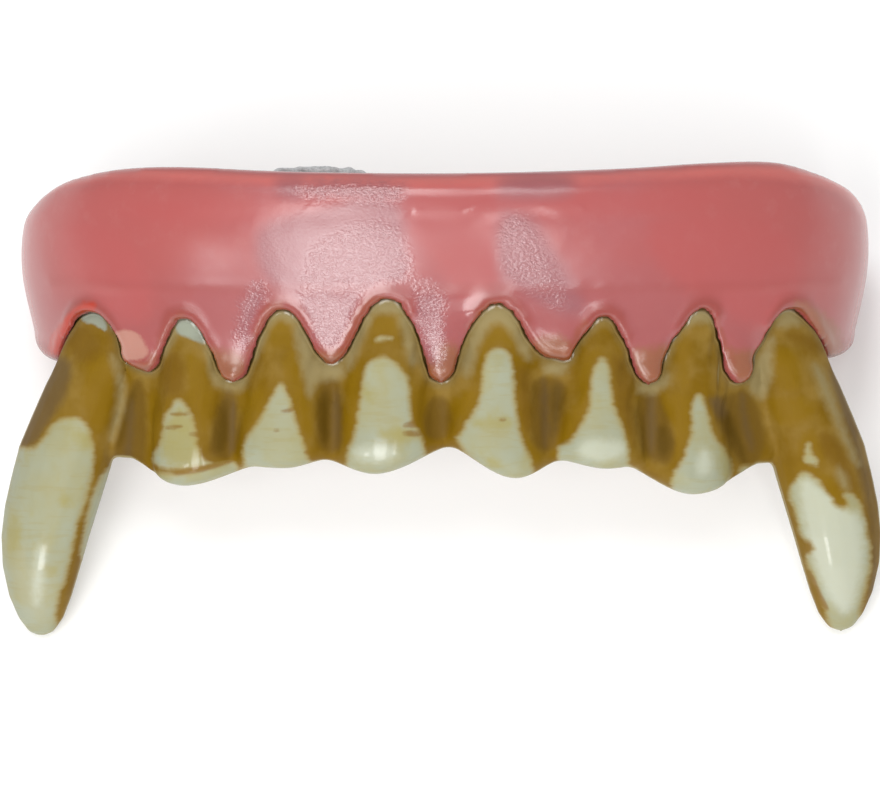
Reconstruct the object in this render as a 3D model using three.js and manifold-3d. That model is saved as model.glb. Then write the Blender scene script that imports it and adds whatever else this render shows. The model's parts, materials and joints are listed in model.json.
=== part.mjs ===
// Costume denture for the upper mouth: a pink gum wall curved round the front of the mouth, a row of
// six small joined teeth with a long fang at each end, and a pad of fitting putty behind the gum's rim.
// The pieces are made as they are worn and are then laid down as the denture lies on a table by itself:
// on the cut ends of the gum's two arms and the tips of the fangs, with the front of the teeth upwards.

import * as THREE from "three";
import { mergeVertices } from "three/addons/utils/BufferGeometryUtils.js";
import Module from "manifold-3d";

const wasm = await Module();
wasm.setup();

// Sizes are in millimetres. While the pieces are made, X runs to the viewer's right, Y from the front
// of the mouth to the back and Z up, with Z = 0 at the lowest tips of the gum between the teeth.
const ARCH_HALF_WIDTH = 30.6; // the line that the teeth stand on, from the middle to a straight arm
const ARCH_DEPTH = 18.2; // from the front of that line to where the arms begin
const ARCH_SQUARENESS = 2.4; // 2 would be an ellipse
const ARM_REACH = 27; // lower corner of each arm's end, behind the front of the line

const GUM_HEIGHT = 15.5; // tips between the teeth to the rim
const GUM_BULGE = 1.5; // fullest part of the gum, outside the line
const GUM_WALL = 2.3;
const RIM_ROUNDING = 0.55;
const ARCHWAY_HEIGHT = 6.3; // highest arch of the gum's edge over a tooth
const ARCHWAY_FULLNESS = 0.88; // under 1, the arches are wider than the tips between them
const MARGIN_ROUNDING = 0.3; // the gum's edge round each tooth
const PAPILLA_BULGE = 0.35; // the gum's swelling between two teeth
const PAPILLA_RISE = 7; // the height over which that swelling fades

const MARGIN_SKIN = 0.65; // gum that covers the seat of the teeth
const SEAT_CLEARANCE = 0.3; // between the teeth and the gum, and the putty and the gum
const SEAT_OVERLAP = 0.8; // hidden flange of the teeth, above the highest arch
const FLANGE_WALL = 1.3;

const TOOTH_DROP = 8.1; // longest small tooth, below the tips of the gum
const CROWN_BULGE = 1.7; // middle of a tooth, in front of the webs between them
const CROWN_RISE = 4.5; // below its edge of gum, a tooth comes forward over this height
const CROWN_SQUARENESS = 2.4; // 2 would be a round tooth between its grooves
const CROWN_THICKNESS = 3.1; // webs, front to back, at their thickest
const BITE_FULLNESS = 0.75; // under 1, the teeth are broader at the bottom than the notches between them
const BITE_ROUNDING = 1.3; // height of the rounding at the lower edge
const BITE_SHARE = 0.85; // of the thickness that this rounding takes

const FANG_DROP = 19.8; // longest fang, below the tips of the gum
const FANG_WIDTH = 7.7;
const FANG_DEPTH = 6.7;
const FANG_SPREAD = 5.4; // tip of a fang, outside its root
const FANG_SWEEP = 5.2; // tip of a fang, behind its root

const PUTTY_THICKNESS = 1.6;
const PUTTY_HEIGHT = 6;
const PUTTY_PROUD = 0.3; // top of the putty above the gum's rim
const PUTTY_END_HEIGHT = 0.45; // share of its height and of its thickness that are left at its ends
const PUTTY_END_THICKNESS = 0.35;

const SECTION_STEP = 0.7; // spacing of the sections along the arch
const ARM_STEP = 2; // and along its straight arms
const FANG_SIDES = 20;
const FLOOR_CUTTER = 200; // a block larger than the denture
const SLIVER = 0.01; // smallest edge that a cut leaves

// Places along the arch are shares of ARCH_HALF_WIDTH from the middle. Past 1 or -1, a place is on a
// straight arm, and the rest of it is a share of ARM_REACH.

// Edge of the gum over the teeth: tips and arches in turn, with heights as shares of ARCHWAY_HEIGHT.
const GUM_MARGIN = [
  { place: -2, height: 0.49 },
  { place: -1.1, height: 0.32 },
  { place: -0.94, height: 0.17 },
  { place: -0.843, height: 0.79 },
  { place: -0.724, height: 0.12 },
  { place: -0.62, height: 0.75 },
  { place: -0.513, height: -0.015 },
  { place: -0.384, height: 0.875 },
  { place: -0.275, height: 0.245 },
  { place: -0.133, height: 1.0 },
  { place: -0.012, height: 0.03 },
  { place: 0.121, height: 0.935 },
  { place: 0.247, height: 0.32 },
  { place: 0.3, height: 0.28 },
  { place: 0.372, height: 0.8 },
  { place: 0.492, height: -0.01 },
  { place: 0.61, height: 0.85 },
  { place: 0.705, height: -0.025 },
  { place: 0.822, height: 0.835 },
  { place: 0.94, height: 0.22 },
  { place: 1.1, height: 0.32 },
  { place: 2, height: 0.49 },
];

// The gum's rim, with heights as shares of GUM_HEIGHT.
const GUM_RIM = [
  { place: -2, height: 0.54 },
  { place: -1.3, height: 0.6 },
  { place: -1, height: 0.74 },
  { place: -0.95, height: 0.87 },
  { place: -0.9, height: 0.94 },
  { place: -0.8, height: 0.995 },
  { place: -0.65, height: 1.015 },
  { place: -0.4, height: 1.0 },
  { place: 0, height: 0.992 },
  { place: 0.4, height: 1.01 },
  { place: 0.65, height: 1.035 },
  { place: 0.8, height: 1.03 },
  { place: 0.9, height: 0.97 },
  { place: 0.95, height: 0.905 },
  { place: 1, height: 0.77 },
  { place: 1.3, height: 0.6 },
  { place: 2, height: 0.54 },
];

// The gum's outer face up a section, with bulges as shares of GUM_BULGE outside the line.
const GUM_PROFILE = [
  { up: -0.05, bulge: -0.4 },
  { up: 0.1, bulge: -0.3 },
  { up: 0.25, bulge: 0.08 },
  { up: 0.4, bulge: 0.5 },
  { up: 0.55, bulge: 0.84 },
  { up: 0.7, bulge: 1.0 },
  { up: 0.78, bulge: 0.98 },
  { up: 0.84, bulge: 0.86 },
  { up: 0.9, bulge: 0.88 },
  { up: 0.96, bulge: 0.78 },
  { up: 1, bulge: 0.6 },
];

// Grooves beside the small teeth. Past the first and the last one, the row is a web behind a fang.
const GROOVES = [
  { place: -0.73 },
  { place: -0.52 },
  { place: -0.27 },
  { place: -0.008 },
  { place: 0.262 },
  { place: 0.502 },
  { place: 0.715 },
];

// Lower edge of the row of teeth, with drops as shares of TOOTH_DROP below the tips of the gum.
const BITE_EDGE = [
  { place: -0.93, drop: 0.74 },
  { place: -0.81, drop: 0.735 },
  { place: -0.655, drop: 0.955 },
  { place: -0.475, drop: 0.765 },
  { place: -0.395, drop: 0.775 },
  { place: -0.297, drop: 0.695 },
  { place: -0.172, drop: 0.82 },
  { place: 0.012, drop: 0.575 },
  { place: 0.173, drop: 0.86 },
  { place: 0.285, drop: 0.7 },
  { place: 0.4, drop: 0.78 },
  { place: 0.455, drop: 0.765 },
  { place: 0.62, drop: 1.03 },
  { place: 0.81, drop: 0.785 },
  { place: 0.93, drop: 0.79 },
];

// A fang from its root to its tip: down as a share of the seat's height in the root, which is above 0,
// and of FANG_DROP below it, out and back as shares of FANG_SPREAD and FANG_SWEEP, and its section as
// shares of FANG_WIDTH and FANG_DEPTH. The second row is the one whose front lies against the gum.
const FANG_SECTIONS = [
  { down: -0.84, out: 0.06, back: 0, width: 0.34, depth: 0.3 },
  { down: -0.61, out: 0.08, back: 0, width: 0.6, depth: 0.46 },
  { down: -0.28, out: 0.17, back: 0.06, width: 0.8, depth: 0.68 },
  { down: 0.03, out: 0.32, back: 0.14, width: 0.93, depth: 0.86 },
  { down: 0.146, out: 0.45, back: 0.22, width: 1.0, depth: 0.95 },
  { down: 0.26, out: 0.6, back: 0.3, width: 1.02, depth: 1.0 },
  { down: 0.38, out: 0.72, back: 0.38, width: 1.0, depth: 1.0 },
  { down: 0.495, out: 0.83, back: 0.47, width: 0.97, depth: 0.98 },
  { down: 0.61, out: 0.92, back: 0.57, width: 0.91, depth: 0.92 },
  { down: 0.724, out: 0.975, back: 0.69, width: 0.81, depth: 0.82 },
  { down: 0.84, out: 1.0, back: 0.83, width: 0.65, depth: 0.66 },
  { down: 0.927, out: 1.0, back: 0.93, width: 0.46, depth: 0.47 },
  { down: 0.98, out: 1.0, back: 0.98, width: 0.25, depth: 0.26 },
  { down: 1, out: 1.0, back: 1.0, width: 0, depth: 0 },
];

// The two fangs, with their lengths and spreads as shares of FANG_DROP and FANG_SPREAD.
const FANGS = [
  { side: -1, place: 0.85, drop: 1, spread: 1.07 },
  { side: 1, place: 0.842, drop: 0.98, spread: 1 },
];

// The putty, as places on the arch.
const PUTTY_FROM = -0.44;
const PUTTY_TO = -0.175;

const clamp = THREE.MathUtils.clamp;
const lerp = THREE.MathUtils.lerp;
const smoothstep = THREE.MathUtils.smoothstep;
const smootherstep = THREE.MathUtils.smootherstep;

// The plan of the arch line as many short runs, each end knowing how far along it is.
const CURVE_STEPS = 720;

function archRuns() {
  const power = 2 / ARCH_SQUARENESS;
  const points = [];
  for (let i = 0; i <= CURVE_STEPS; i += 1) {
    const angle = (i / CURVE_STEPS - 0.5) * Math.PI;
    const x = ARCH_HALF_WIDTH * Math.sign(angle) * Math.abs(Math.sin(angle)) ** power;
    const y = ARCH_DEPTH * (1 - Math.max(Math.cos(angle), 0) ** power);
    points.push(new THREE.Vector2(x, y));
  }
  const runs = [{ at: 0, point: points[0] }];
  for (let i = 1; i < points.length; i += 1) {
    const at = runs[i - 1].at + points[i].distanceTo(points[i - 1]);
    runs.push({ at, point: points[i] });
  }
  return runs;
}

const RUNS = archRuns();
const CURVE_LENGTH = RUNS[RUNS.length - 1].at;

// How far along the arch a place is, from the left end of the curve.
function lengthAt(place) {
  if (place < -1) return (place + 1) * ARM_REACH;
  if (place > 1) return CURVE_LENGTH + (place - 1) * ARM_REACH;
  const x = place * ARCH_HALF_WIDTH;
  const next = clamp(RUNS.findIndex((run) => run.point.x >= x), 1, RUNS.length - 1);
  const [a, b] = [RUNS[next - 1], RUNS[next]];
  return lerp(a.at, b.at, (x - a.point.x) / (b.point.x - a.point.x));
}

// The point of the arch line at a length, and the direction away from the mouth there.
function archAt(length) {
  const past = Math.max(-length, length - CURVE_LENGTH);
  if (past >= 0) {
    const side = length <= 0 ? -1 : 1;
    const point = new THREE.Vector2(side * ARCH_HALF_WIDTH, ARCH_DEPTH + past);
    return { point, away: new THREE.Vector2(side, 0) };
  }
  const next = clamp(RUNS.findIndex((run) => run.at >= length), 1, RUNS.length - 1);
  const [a, b] = [RUNS[next - 1], RUNS[next]];
  const point = a.point.clone().lerp(b.point, (length - a.at) / (b.at - a.at));
  const [before, after] = [RUNS[Math.max(next - 6, 0)], RUNS[Math.min(next + 5, RUNS.length - 1)]];
  const along = after.point.clone().sub(before.point).normalize();
  return { point, away: new THREE.Vector2(along.y, -along.x) };
}

// Reads a column of a table between its rows, as one smooth curve.
function read(table, key, column, at) {
  const last = table.length - 1;
  const above = table.findIndex((row) => row[key] > at);
  if (above === 0) return table[0][column];
  if (above < 0) return table[last][column];
  const slope = (i) => {
    const [a, b] = [table[Math.max(i - 1, 0)], table[Math.min(i + 1, last)]];
    return (b[column] - a[column]) / (b[key] - a[key]);
  };
  const [a, b] = [table[above - 1], table[above]];
  const gap = b[key] - a[key];
  const t = (at - a[key]) / gap;
  const value = (2 * t ** 3 - 3 * t ** 2 + 1) * a[column] + (3 * t ** 2 - 2 * t ** 3) * b[column];
  return value + gap * ((t ** 3 - 2 * t ** 2 + t) * slope(above - 1) + (t ** 3 - t ** 2) * slope(above));
}

// Reads a column along the arch whose rows are its tops and bottoms in turn, level at each row. Rise
// gives the way from a bottom to a top, both from 0 to 1.
function readWaves(table, column, at, rise) {
  const above = table.findIndex((row) => row.length > at);
  if (above === 0) return table[0][column];
  if (above < 0) return table[table.length - 1][column];
  const [a, b] = [table[above - 1], table[above]];
  const [low, high] = a[column] < b[column] ? [a, b] : [b, a];
  return lerp(low[column], high[column], rise((at - low.length) / (high.length - low.length)));
}

// Each table of the arch gets a column with how far along each of its places is.
function withLengths(table) {
  return table.map((row) => ({ ...row, length: lengthAt(row.place) }));
}

const margin = withLengths(GUM_MARGIN);
const rim = withLengths(GUM_RIM);
const grooves = withLengths(GROOVES);
const biteEdge = withLengths(BITE_EDGE);

const archwayRise = (share) => smootherstep(share ** ARCHWAY_FULLNESS, 0, 1);
const biteRise = (share) => smoothstep(share, 0, 1) ** BITE_FULLNESS;

const marginHeight = (length) => ARCHWAY_HEIGHT * readWaves(margin, "height", length, archwayRise);
const rimHeight = (length) => GUM_HEIGHT * read(rim, "length", "height", length);
const biteHeight = (length) => -TOOTH_DROP * readWaves(biteEdge, "drop", length, biteRise);

// Top of the hidden flange of the teeth.
const SEAT_HEIGHT = ARCHWAY_HEIGHT + SEAT_OVERLAP;

// How far the gum's outer face is outside the arch line, before its edges are rounded.
function gumFace(length, z) {
  return GUM_BULGE * read(GUM_PROFILE, "up", "bulge", z / rimHeight(length));
}

// The face of the teeth under the gum, and of the webs below it.
function seatFace(length, z) {
  return gumFace(length, Math.max(z, 0)) - MARGIN_SKIN - SEAT_CLEARANCE;
}

// 0 in the groove beside a tooth and 1 along its middle.
function acrossTooth(length) {
  const above = grooves.findIndex((row) => row.length > length);
  if (above <= 0) return 0;
  const [a, b] = [grooves[above - 1], grooves[above]];
  return 1 - Math.abs((2 * (length - a.length)) / (b.length - a.length) - 1) ** CROWN_SQUARENESS;
}

function toothFace(length, z) {
  const forward = smoothstep(marginHeight(length) - z, 0, CROWN_RISE);
  return seatFace(length, z) + CROWN_BULGE * forward * acrossTooth(length);
}

function toothBack(length, z) {
  const deep = smoothstep(-z, -SEAT_HEIGHT / 2, TOOTH_DROP / 2);
  return seatFace(length, z) - lerp(FLANGE_WALL, CROWN_THICKNESS, deep);
}

// Where a wall has its sections: close together on the curve and further apart on the arms.
function sectionLengths(from, to) {
  const stretches = [
    [from, Math.min(0, to), ARM_STEP],
    [Math.max(0, from), Math.min(CURVE_LENGTH, to), SECTION_STEP],
    [Math.max(CURVE_LENGTH, from), to, ARM_STEP],
  ];
  const lengths = [from];
  for (const [start, end, step] of stretches) {
    const count = Math.ceil((end - start) / step);
    for (let i = 1; i <= count; i += 1) lengths.push(lerp(start, end, i / count));
  }
  return lengths;
}

// A closed wall that follows the arch: a box whose width runs along the arch, whose height runs from
// bottom to top and whose two faces lie at the distances that face and back give, outside the line.
function archWall({ from, to, rows, bottom, top, face, back }) {
  const lengths = sectionLengths(from, to);
  const box = new THREE.BoxGeometry(1, 1, 1, lengths.length - 1, rows.length - 1, 1);
  const place = box.attributes.position;
  for (let i = 0; i < place.count; i += 1) {
    const length = lengths[Math.round((place.getX(i) + 0.5) * (lengths.length - 1))];
    const share = rows[Math.round((place.getY(i) + 0.5) * (rows.length - 1))];
    const z = lerp(bottom(length), top(length), share);
    const out = place.getZ(i) > 0 ? face(length, z) : back(length, z);
    const { point, away } = archAt(length);
    place.setXYZ(i, point.x + out * away.x, point.y + out * away.y, z);
  }
  return box;
}

// How much a wall is rounded off near its edge, from the whole radius at the edge to nothing.
function rounding(distance, radius) {
  const inside = clamp(1 - distance / radius, 0, 1);
  return radius * (1 - Math.sqrt(1 - inside ** 2));
}

// A horn of round sections, laid through the rows of the fang table.
function fangHorn({ side, place, drop, spread }, grow) {
  const root = archAt(lengthAt(side * place));
  const along = new THREE.Vector2(root.away.y, -root.away.x);
  const seated = FANG_SECTIONS[1];
  const front = seatFace(lengthAt(side * place), -seated.down * SEAT_HEIGHT);
  const start = root.point.clone().addScaledVector(root.away, front - (seated.depth * FANG_DEPTH) / 2);
  const rows = FANG_SECTIONS.length - 1;
  const horn = new THREE.SphereGeometry(1, FANG_SIDES, rows + 1);
  const vertex = horn.attributes.position;
  const perRow = FANG_SIDES + 1;
  for (let i = 0; i < vertex.count; i += 1) {
    // The sphere's first and last rows are its poles: the first is the middle of the root's flat end.
    const ring = Math.floor(i / perRow);
    const section = FANG_SECTIONS[clamp(ring - 1, 0, rows)];
    const turn = ((i % perRow) / FANG_SIDES) * 2 * Math.PI;
    const open = ring > 0 && ring <= rows ? 1 : 0;
    const wide = open * (section.width * FANG_WIDTH / 2 + grow);
    const deep = open * (section.depth * FANG_DEPTH / 2 + grow);
    const x = start.x + side * section.out * spread * FANG_SPREAD;
    const y = start.y + section.back * FANG_SWEEP;
    const z = -section.down * (section.down > 0 ? drop * FANG_DROP : SEAT_HEIGHT);
    const beyond = ring === 0 ? grow : 0;
    vertex.setXYZ(
      i,
      x + wide * Math.cos(turn) * along.x + deep * Math.sin(turn) * root.away.x,
      y + wide * Math.cos(turn) * along.y + deep * Math.sin(turn) * root.away.y,
      z + beyond,
    );
  }
  return horn;
}

// A closed geometry as a solid that can be cut and joined.
function solid(geometry) {
  geometry.deleteAttribute("normal");
  geometry.deleteAttribute("uv");
  const merged = mergeVertices(geometry, 1e-4);
  const faces = [];
  for (let i = 0; i < merged.index.count; i += 3) {
    const corners = [0, 1, 2].map((k) => merged.index.getX(i + k));
    if (new Set(corners).size === 3) faces.push(...corners);
  }
  return new wasm.Manifold(
    new wasm.Mesh({
      numProp: 3,
      vertProperties: new Float32Array(merged.attributes.position.array),
      triVerts: new Uint32Array(faces),
    }),
  );
}

// What is left of a cut or joined shape without its crumbs and its slivers.
function largestBody(shape) {
  const bodies = shape.simplify(SLIVER).decompose();
  return bodies.reduce((best, body) => (body.volume() > best.volume() ? body : best));
}

function geometryOf(shape) {
  const mesh = shape.getMesh();
  const geometry = new THREE.BufferGeometry();
  geometry.setAttribute("position", new THREE.BufferAttribute(new Float32Array(mesh.vertProperties), 3));
  geometry.setIndex(new THREE.BufferAttribute(new Uint32Array(mesh.triVerts), 1));
  geometry.computeVertexNormals();
  return geometry;
}

const WALL_ROWS = [0, 0.03, 0.1, 0.22, 0.4, 0.57, 0.72, 0.82, 0.9, 0.965, 1];
const TOOTH_ROWS = [0, 0.012, 0.035, 0.07, 0.12, 0.2, 0.31, 0.44, 0.58, 0.75, 1];
const PLAIN_ROWS = [0, 0.25, 0.5, 0.75, 1];

// The gum's two edges, rounded on both faces as far as their walls allow.
function gumRounding(length, z) {
  const top = rounding(rimHeight(length) - z, Math.min(RIM_ROUNDING, 0.4 * GUM_WALL));
  const low = rounding(z - marginHeight(length), Math.min(MARGIN_ROUNDING, 0.5 * MARGIN_SKIN));
  return top + low;
}

// The swelling between two teeth, which fades upwards.
function papilla(length, z) {
  const between = 1 - acrossTooth(length);
  const fade = 1 - smoothstep(z, 0, PAPILLA_RISE);
  return PAPILLA_BULGE * between * fade;
}

function gumShell(from, to) {
  return archWall({
    from,
    to,
    rows: WALL_ROWS,
    bottom: marginHeight,
    top: rimHeight,
    face: (length, z) => gumFace(length, z) + papilla(length, z) - gumRounding(length, z),
    back: (length, z) => gumFace(length, z) - GUM_WALL + gumRounding(length, z),
  });
}

const SEAT_FROM = biteEdge[0].length;
const SEAT_TO = biteEdge[biteEdge.length - 1].length;

// How much the lower edge of the teeth is rounded off, from 1 at its middle to nothing.
function biteRounding(length, z) {
  return (BITE_SHARE * rounding(z - biteHeight(length), BITE_ROUNDING)) / BITE_ROUNDING;
}

// The row of teeth with its webs and flange. Grown by the clearance, and left open to the back, it is
// the room that the gum leaves for them.
function toothStrip(clearance) {
  const open = clearance > 0 ? 2 * GUM_WALL : 0;
  const middle = (length, z) => (toothFace(length, z) + toothBack(length, z)) / 2;
  return archWall({
    from: SEAT_FROM - clearance,
    to: SEAT_TO + clearance,
    rows: TOOTH_ROWS,
    bottom: (length) => biteHeight(length) - clearance,
    top: () => SEAT_HEIGHT + clearance,
    face: (length, z) =>
      lerp(toothFace(length, z), middle(length, z), biteRounding(length, z + clearance)) + clearance,
    back: (length, z) =>
      lerp(toothBack(length, z), middle(length, z), biteRounding(length, z + clearance)) - open,
  });
}

// The putty lies against the gum's back and swells from its two ends to its middle.
function puttyPad() {
  const from = lengthAt(PUTTY_FROM);
  const to = lengthAt(PUTTY_TO);
  const swell = (length) => Math.sqrt(Math.max(1 - ((2 * (length - from)) / (to - from) - 1) ** 2, 0));
  const height = (length) => PUTTY_HEIGHT * lerp(PUTTY_END_HEIGHT, 1, swell(length));
  const thickness = (length) => PUTTY_THICKNESS * lerp(PUTTY_END_THICKNESS, 1, swell(length));
  const face = (length, z) => {
    const straight = Math.min(z, rimHeight(length) - RIM_ROUNDING);
    return gumFace(length, straight) - GUM_WALL - SEAT_CLEARANCE;
  };
  return archWall({
    from,
    to,
    rows: PLAIN_ROWS,
    bottom: (length) => rimHeight(length) - height(length),
    top: (length) => rimHeight(length) + PUTTY_PROUD * (2 * swell(length) - 1),
    face,
    back: (length, z) => face(length, z) - thickness(length),
  });
}

const horns = FANGS.map((fang) => solid(fangHorn(fang, 0)));
const teeth = largestBody(horns.reduce((row, horn) => row.add(horn), solid(toothStrip(0))));

// The denture lies on a plane through the lower corners of its two arms that touches a fang's tip.
const armCorner = new THREE.Vector2(ARM_REACH, marginHeight(CURVE_LENGTH + ARM_REACH - ARCH_DEPTH));

// The angle between that plane and the upright of the worn denture.
function restLean(shape) {
  const { vertProperties } = shape.getMesh();
  let least = Math.PI / 2;
  for (let i = 0; i < vertProperties.length; i += 3) {
    const below = armCorner.y - vertProperties[i + 2];
    if (below > 0) least = Math.min(least, Math.atan2(armCorner.x - vertProperties[i + 1], below));
  }
  return least;
}

const REST_LEAN = restLean(teeth);

// A block behind that plane, which trims the arms.
function floorBlock() {
  const block = new THREE.BoxGeometry(FLOOR_CUTTER, FLOOR_CUTTER, FLOOR_CUTTER);
  block.translate(0, FLOOR_CUTTER / 2, 0);
  block.rotateX(-REST_LEAN);
  block.translate(0, armCorner.x, armCorner.y);
  return block;
}

// The arms are made long enough for that block to cut them off.
const ARM_SPARE = GUM_HEIGHT * Math.tan(REST_LEAN) + ARM_REACH - ARCH_DEPTH;
const fangRooms = FANGS.map((fang) => solid(fangHorn(fang, SEAT_CLEARANCE)));
const cutters = [solid(toothStrip(SEAT_CLEARANCE)), solid(floorBlock()), ...fangRooms];
const wholeGum = solid(gumShell(-ARM_SPARE, CURVE_LENGTH + ARM_SPARE));
const gum = largestBody(cutters.reduce((shell, cutter) => shell.subtract(cutter), wholeGum));
const putty = solid(puttyPad());

function piece(name, shape, color, roughness) {
  const material = new THREE.MeshStandardMaterial({ color, roughness, metalness: 0 });
  const mesh = new THREE.Mesh(geometryOf(shape), material);
  mesh.name = name;
  return mesh;
}

const denture = new THREE.Group();
denture.add(piece("gum_shell", gum, 0xc96a6a, 0.4));
denture.add(piece("tooth_row", teeth, 0xb09a5c, 0.35));
denture.add(piece("fitting_putty", putty, 0xb9bcbd, 0.7));

// Laid down, the resting plane is Z = 0, the front of the teeth faces up and the rim points to +Y.
const laid = new THREE.Group();
laid.add(denture);
denture.position.set(0, -armCorner.x, -armCorner.y);
laid.rotation.x = -(Math.PI / 2 - REST_LEAN);

// The origin is under the middle of the laid denture.
const whole = new THREE.Group();
whole.add(laid);
whole.updateMatrixWorld(true);
const extent = new THREE.Box3().setFromObject(whole, true);
const middle = extent.getCenter(new THREE.Vector3());
laid.position.set(-middle.x, -middle.y, -extent.min.z);

export default whole;
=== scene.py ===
import json
import math

import bmesh
import bpy
import numpy as np
from mathutils import Matrix, Vector
from mathutils.bvhtree import BVHTree
from mathutils.kdtree import KDTree


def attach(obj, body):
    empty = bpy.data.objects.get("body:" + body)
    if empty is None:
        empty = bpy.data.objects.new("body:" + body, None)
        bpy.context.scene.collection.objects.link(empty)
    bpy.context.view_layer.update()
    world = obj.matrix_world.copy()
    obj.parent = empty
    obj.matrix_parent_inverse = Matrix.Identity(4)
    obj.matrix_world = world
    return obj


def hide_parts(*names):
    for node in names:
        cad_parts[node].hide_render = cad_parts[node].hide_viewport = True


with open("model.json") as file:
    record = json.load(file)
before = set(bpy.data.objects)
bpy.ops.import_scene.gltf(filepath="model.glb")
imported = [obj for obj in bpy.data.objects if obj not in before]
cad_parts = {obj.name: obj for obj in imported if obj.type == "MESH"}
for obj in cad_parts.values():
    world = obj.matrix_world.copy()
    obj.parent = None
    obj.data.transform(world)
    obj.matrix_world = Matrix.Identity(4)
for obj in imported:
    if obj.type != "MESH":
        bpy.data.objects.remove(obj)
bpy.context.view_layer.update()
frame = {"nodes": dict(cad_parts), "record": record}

bl_info = {
    "name": "Vampire Fang Denture",
    "version": (1, 0, 0),
    "blender": (4, 5, 0),
    "location": "3D View > Sidebar > Denture",
    "description": "Finishes the costume denture: its gum, its stained teeth, its putty and the stage",
    "category": "Object",
}

MM = 0.001

# The denture is shaped as it is worn, in millimetres: X to the viewer's right, Y from the front of the
# mouth to the back, Z up, with Z = 0 at the tips of the gum. The mount in the wearer's mouth points
# along Y, and this is its place there.
SEAT_PLACE = Vector((0, 4, 0))
SEAT = next(mount for mount in frame["record"]["mounts"] if mount["name"] == "wearer_teeth_seat")
LEAN = math.atan2(SEAT["axis"][2], SEAT["axis"][1])
WORN_TO_ROW = (
    Matrix.Translation(SEAT["pos_m"])
    @ Matrix.Rotation(LEAN, 4, "X")
    @ Matrix.Scale(MM, 4)
    @ Matrix.Translation(-SEAT_PLACE)
)
ROW_TO_WORN = WORN_TO_ROW.inverted()

# The photograph's camera in the worn frame: it looks from the front, a little downwards.
VIEW_LENS = 250  # millimetres
VIEW_SENSOR = 36  # millimetres
VIEW_SPAN = 65.2  # millimetres across the image at the target
VIEW_TARGET = np.array((-0.37, 9.0, -1.7))
VIEW_DIP = math.radians(4)
VIEW_DISTANCE = VIEW_SPAN * VIEW_LENS / VIEW_SENSOR
VIEW_ALONG = np.array((0, math.cos(VIEW_DIP), -math.sin(VIEW_DIP)))
VIEW_UP = np.array((0, math.sin(VIEW_DIP), math.cos(VIEW_DIP)))
EYE = VIEW_TARGET - VIEW_DISTANCE * VIEW_ALONG

# The charts below are read on the photograph, in its pixels.
PHOTO_WIDTH = 880
PHOTO_HEIGHT = 800
PHOTO_SCALE = PHOTO_WIDTH / VIEW_SPAN  # pixels to a millimetre

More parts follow.
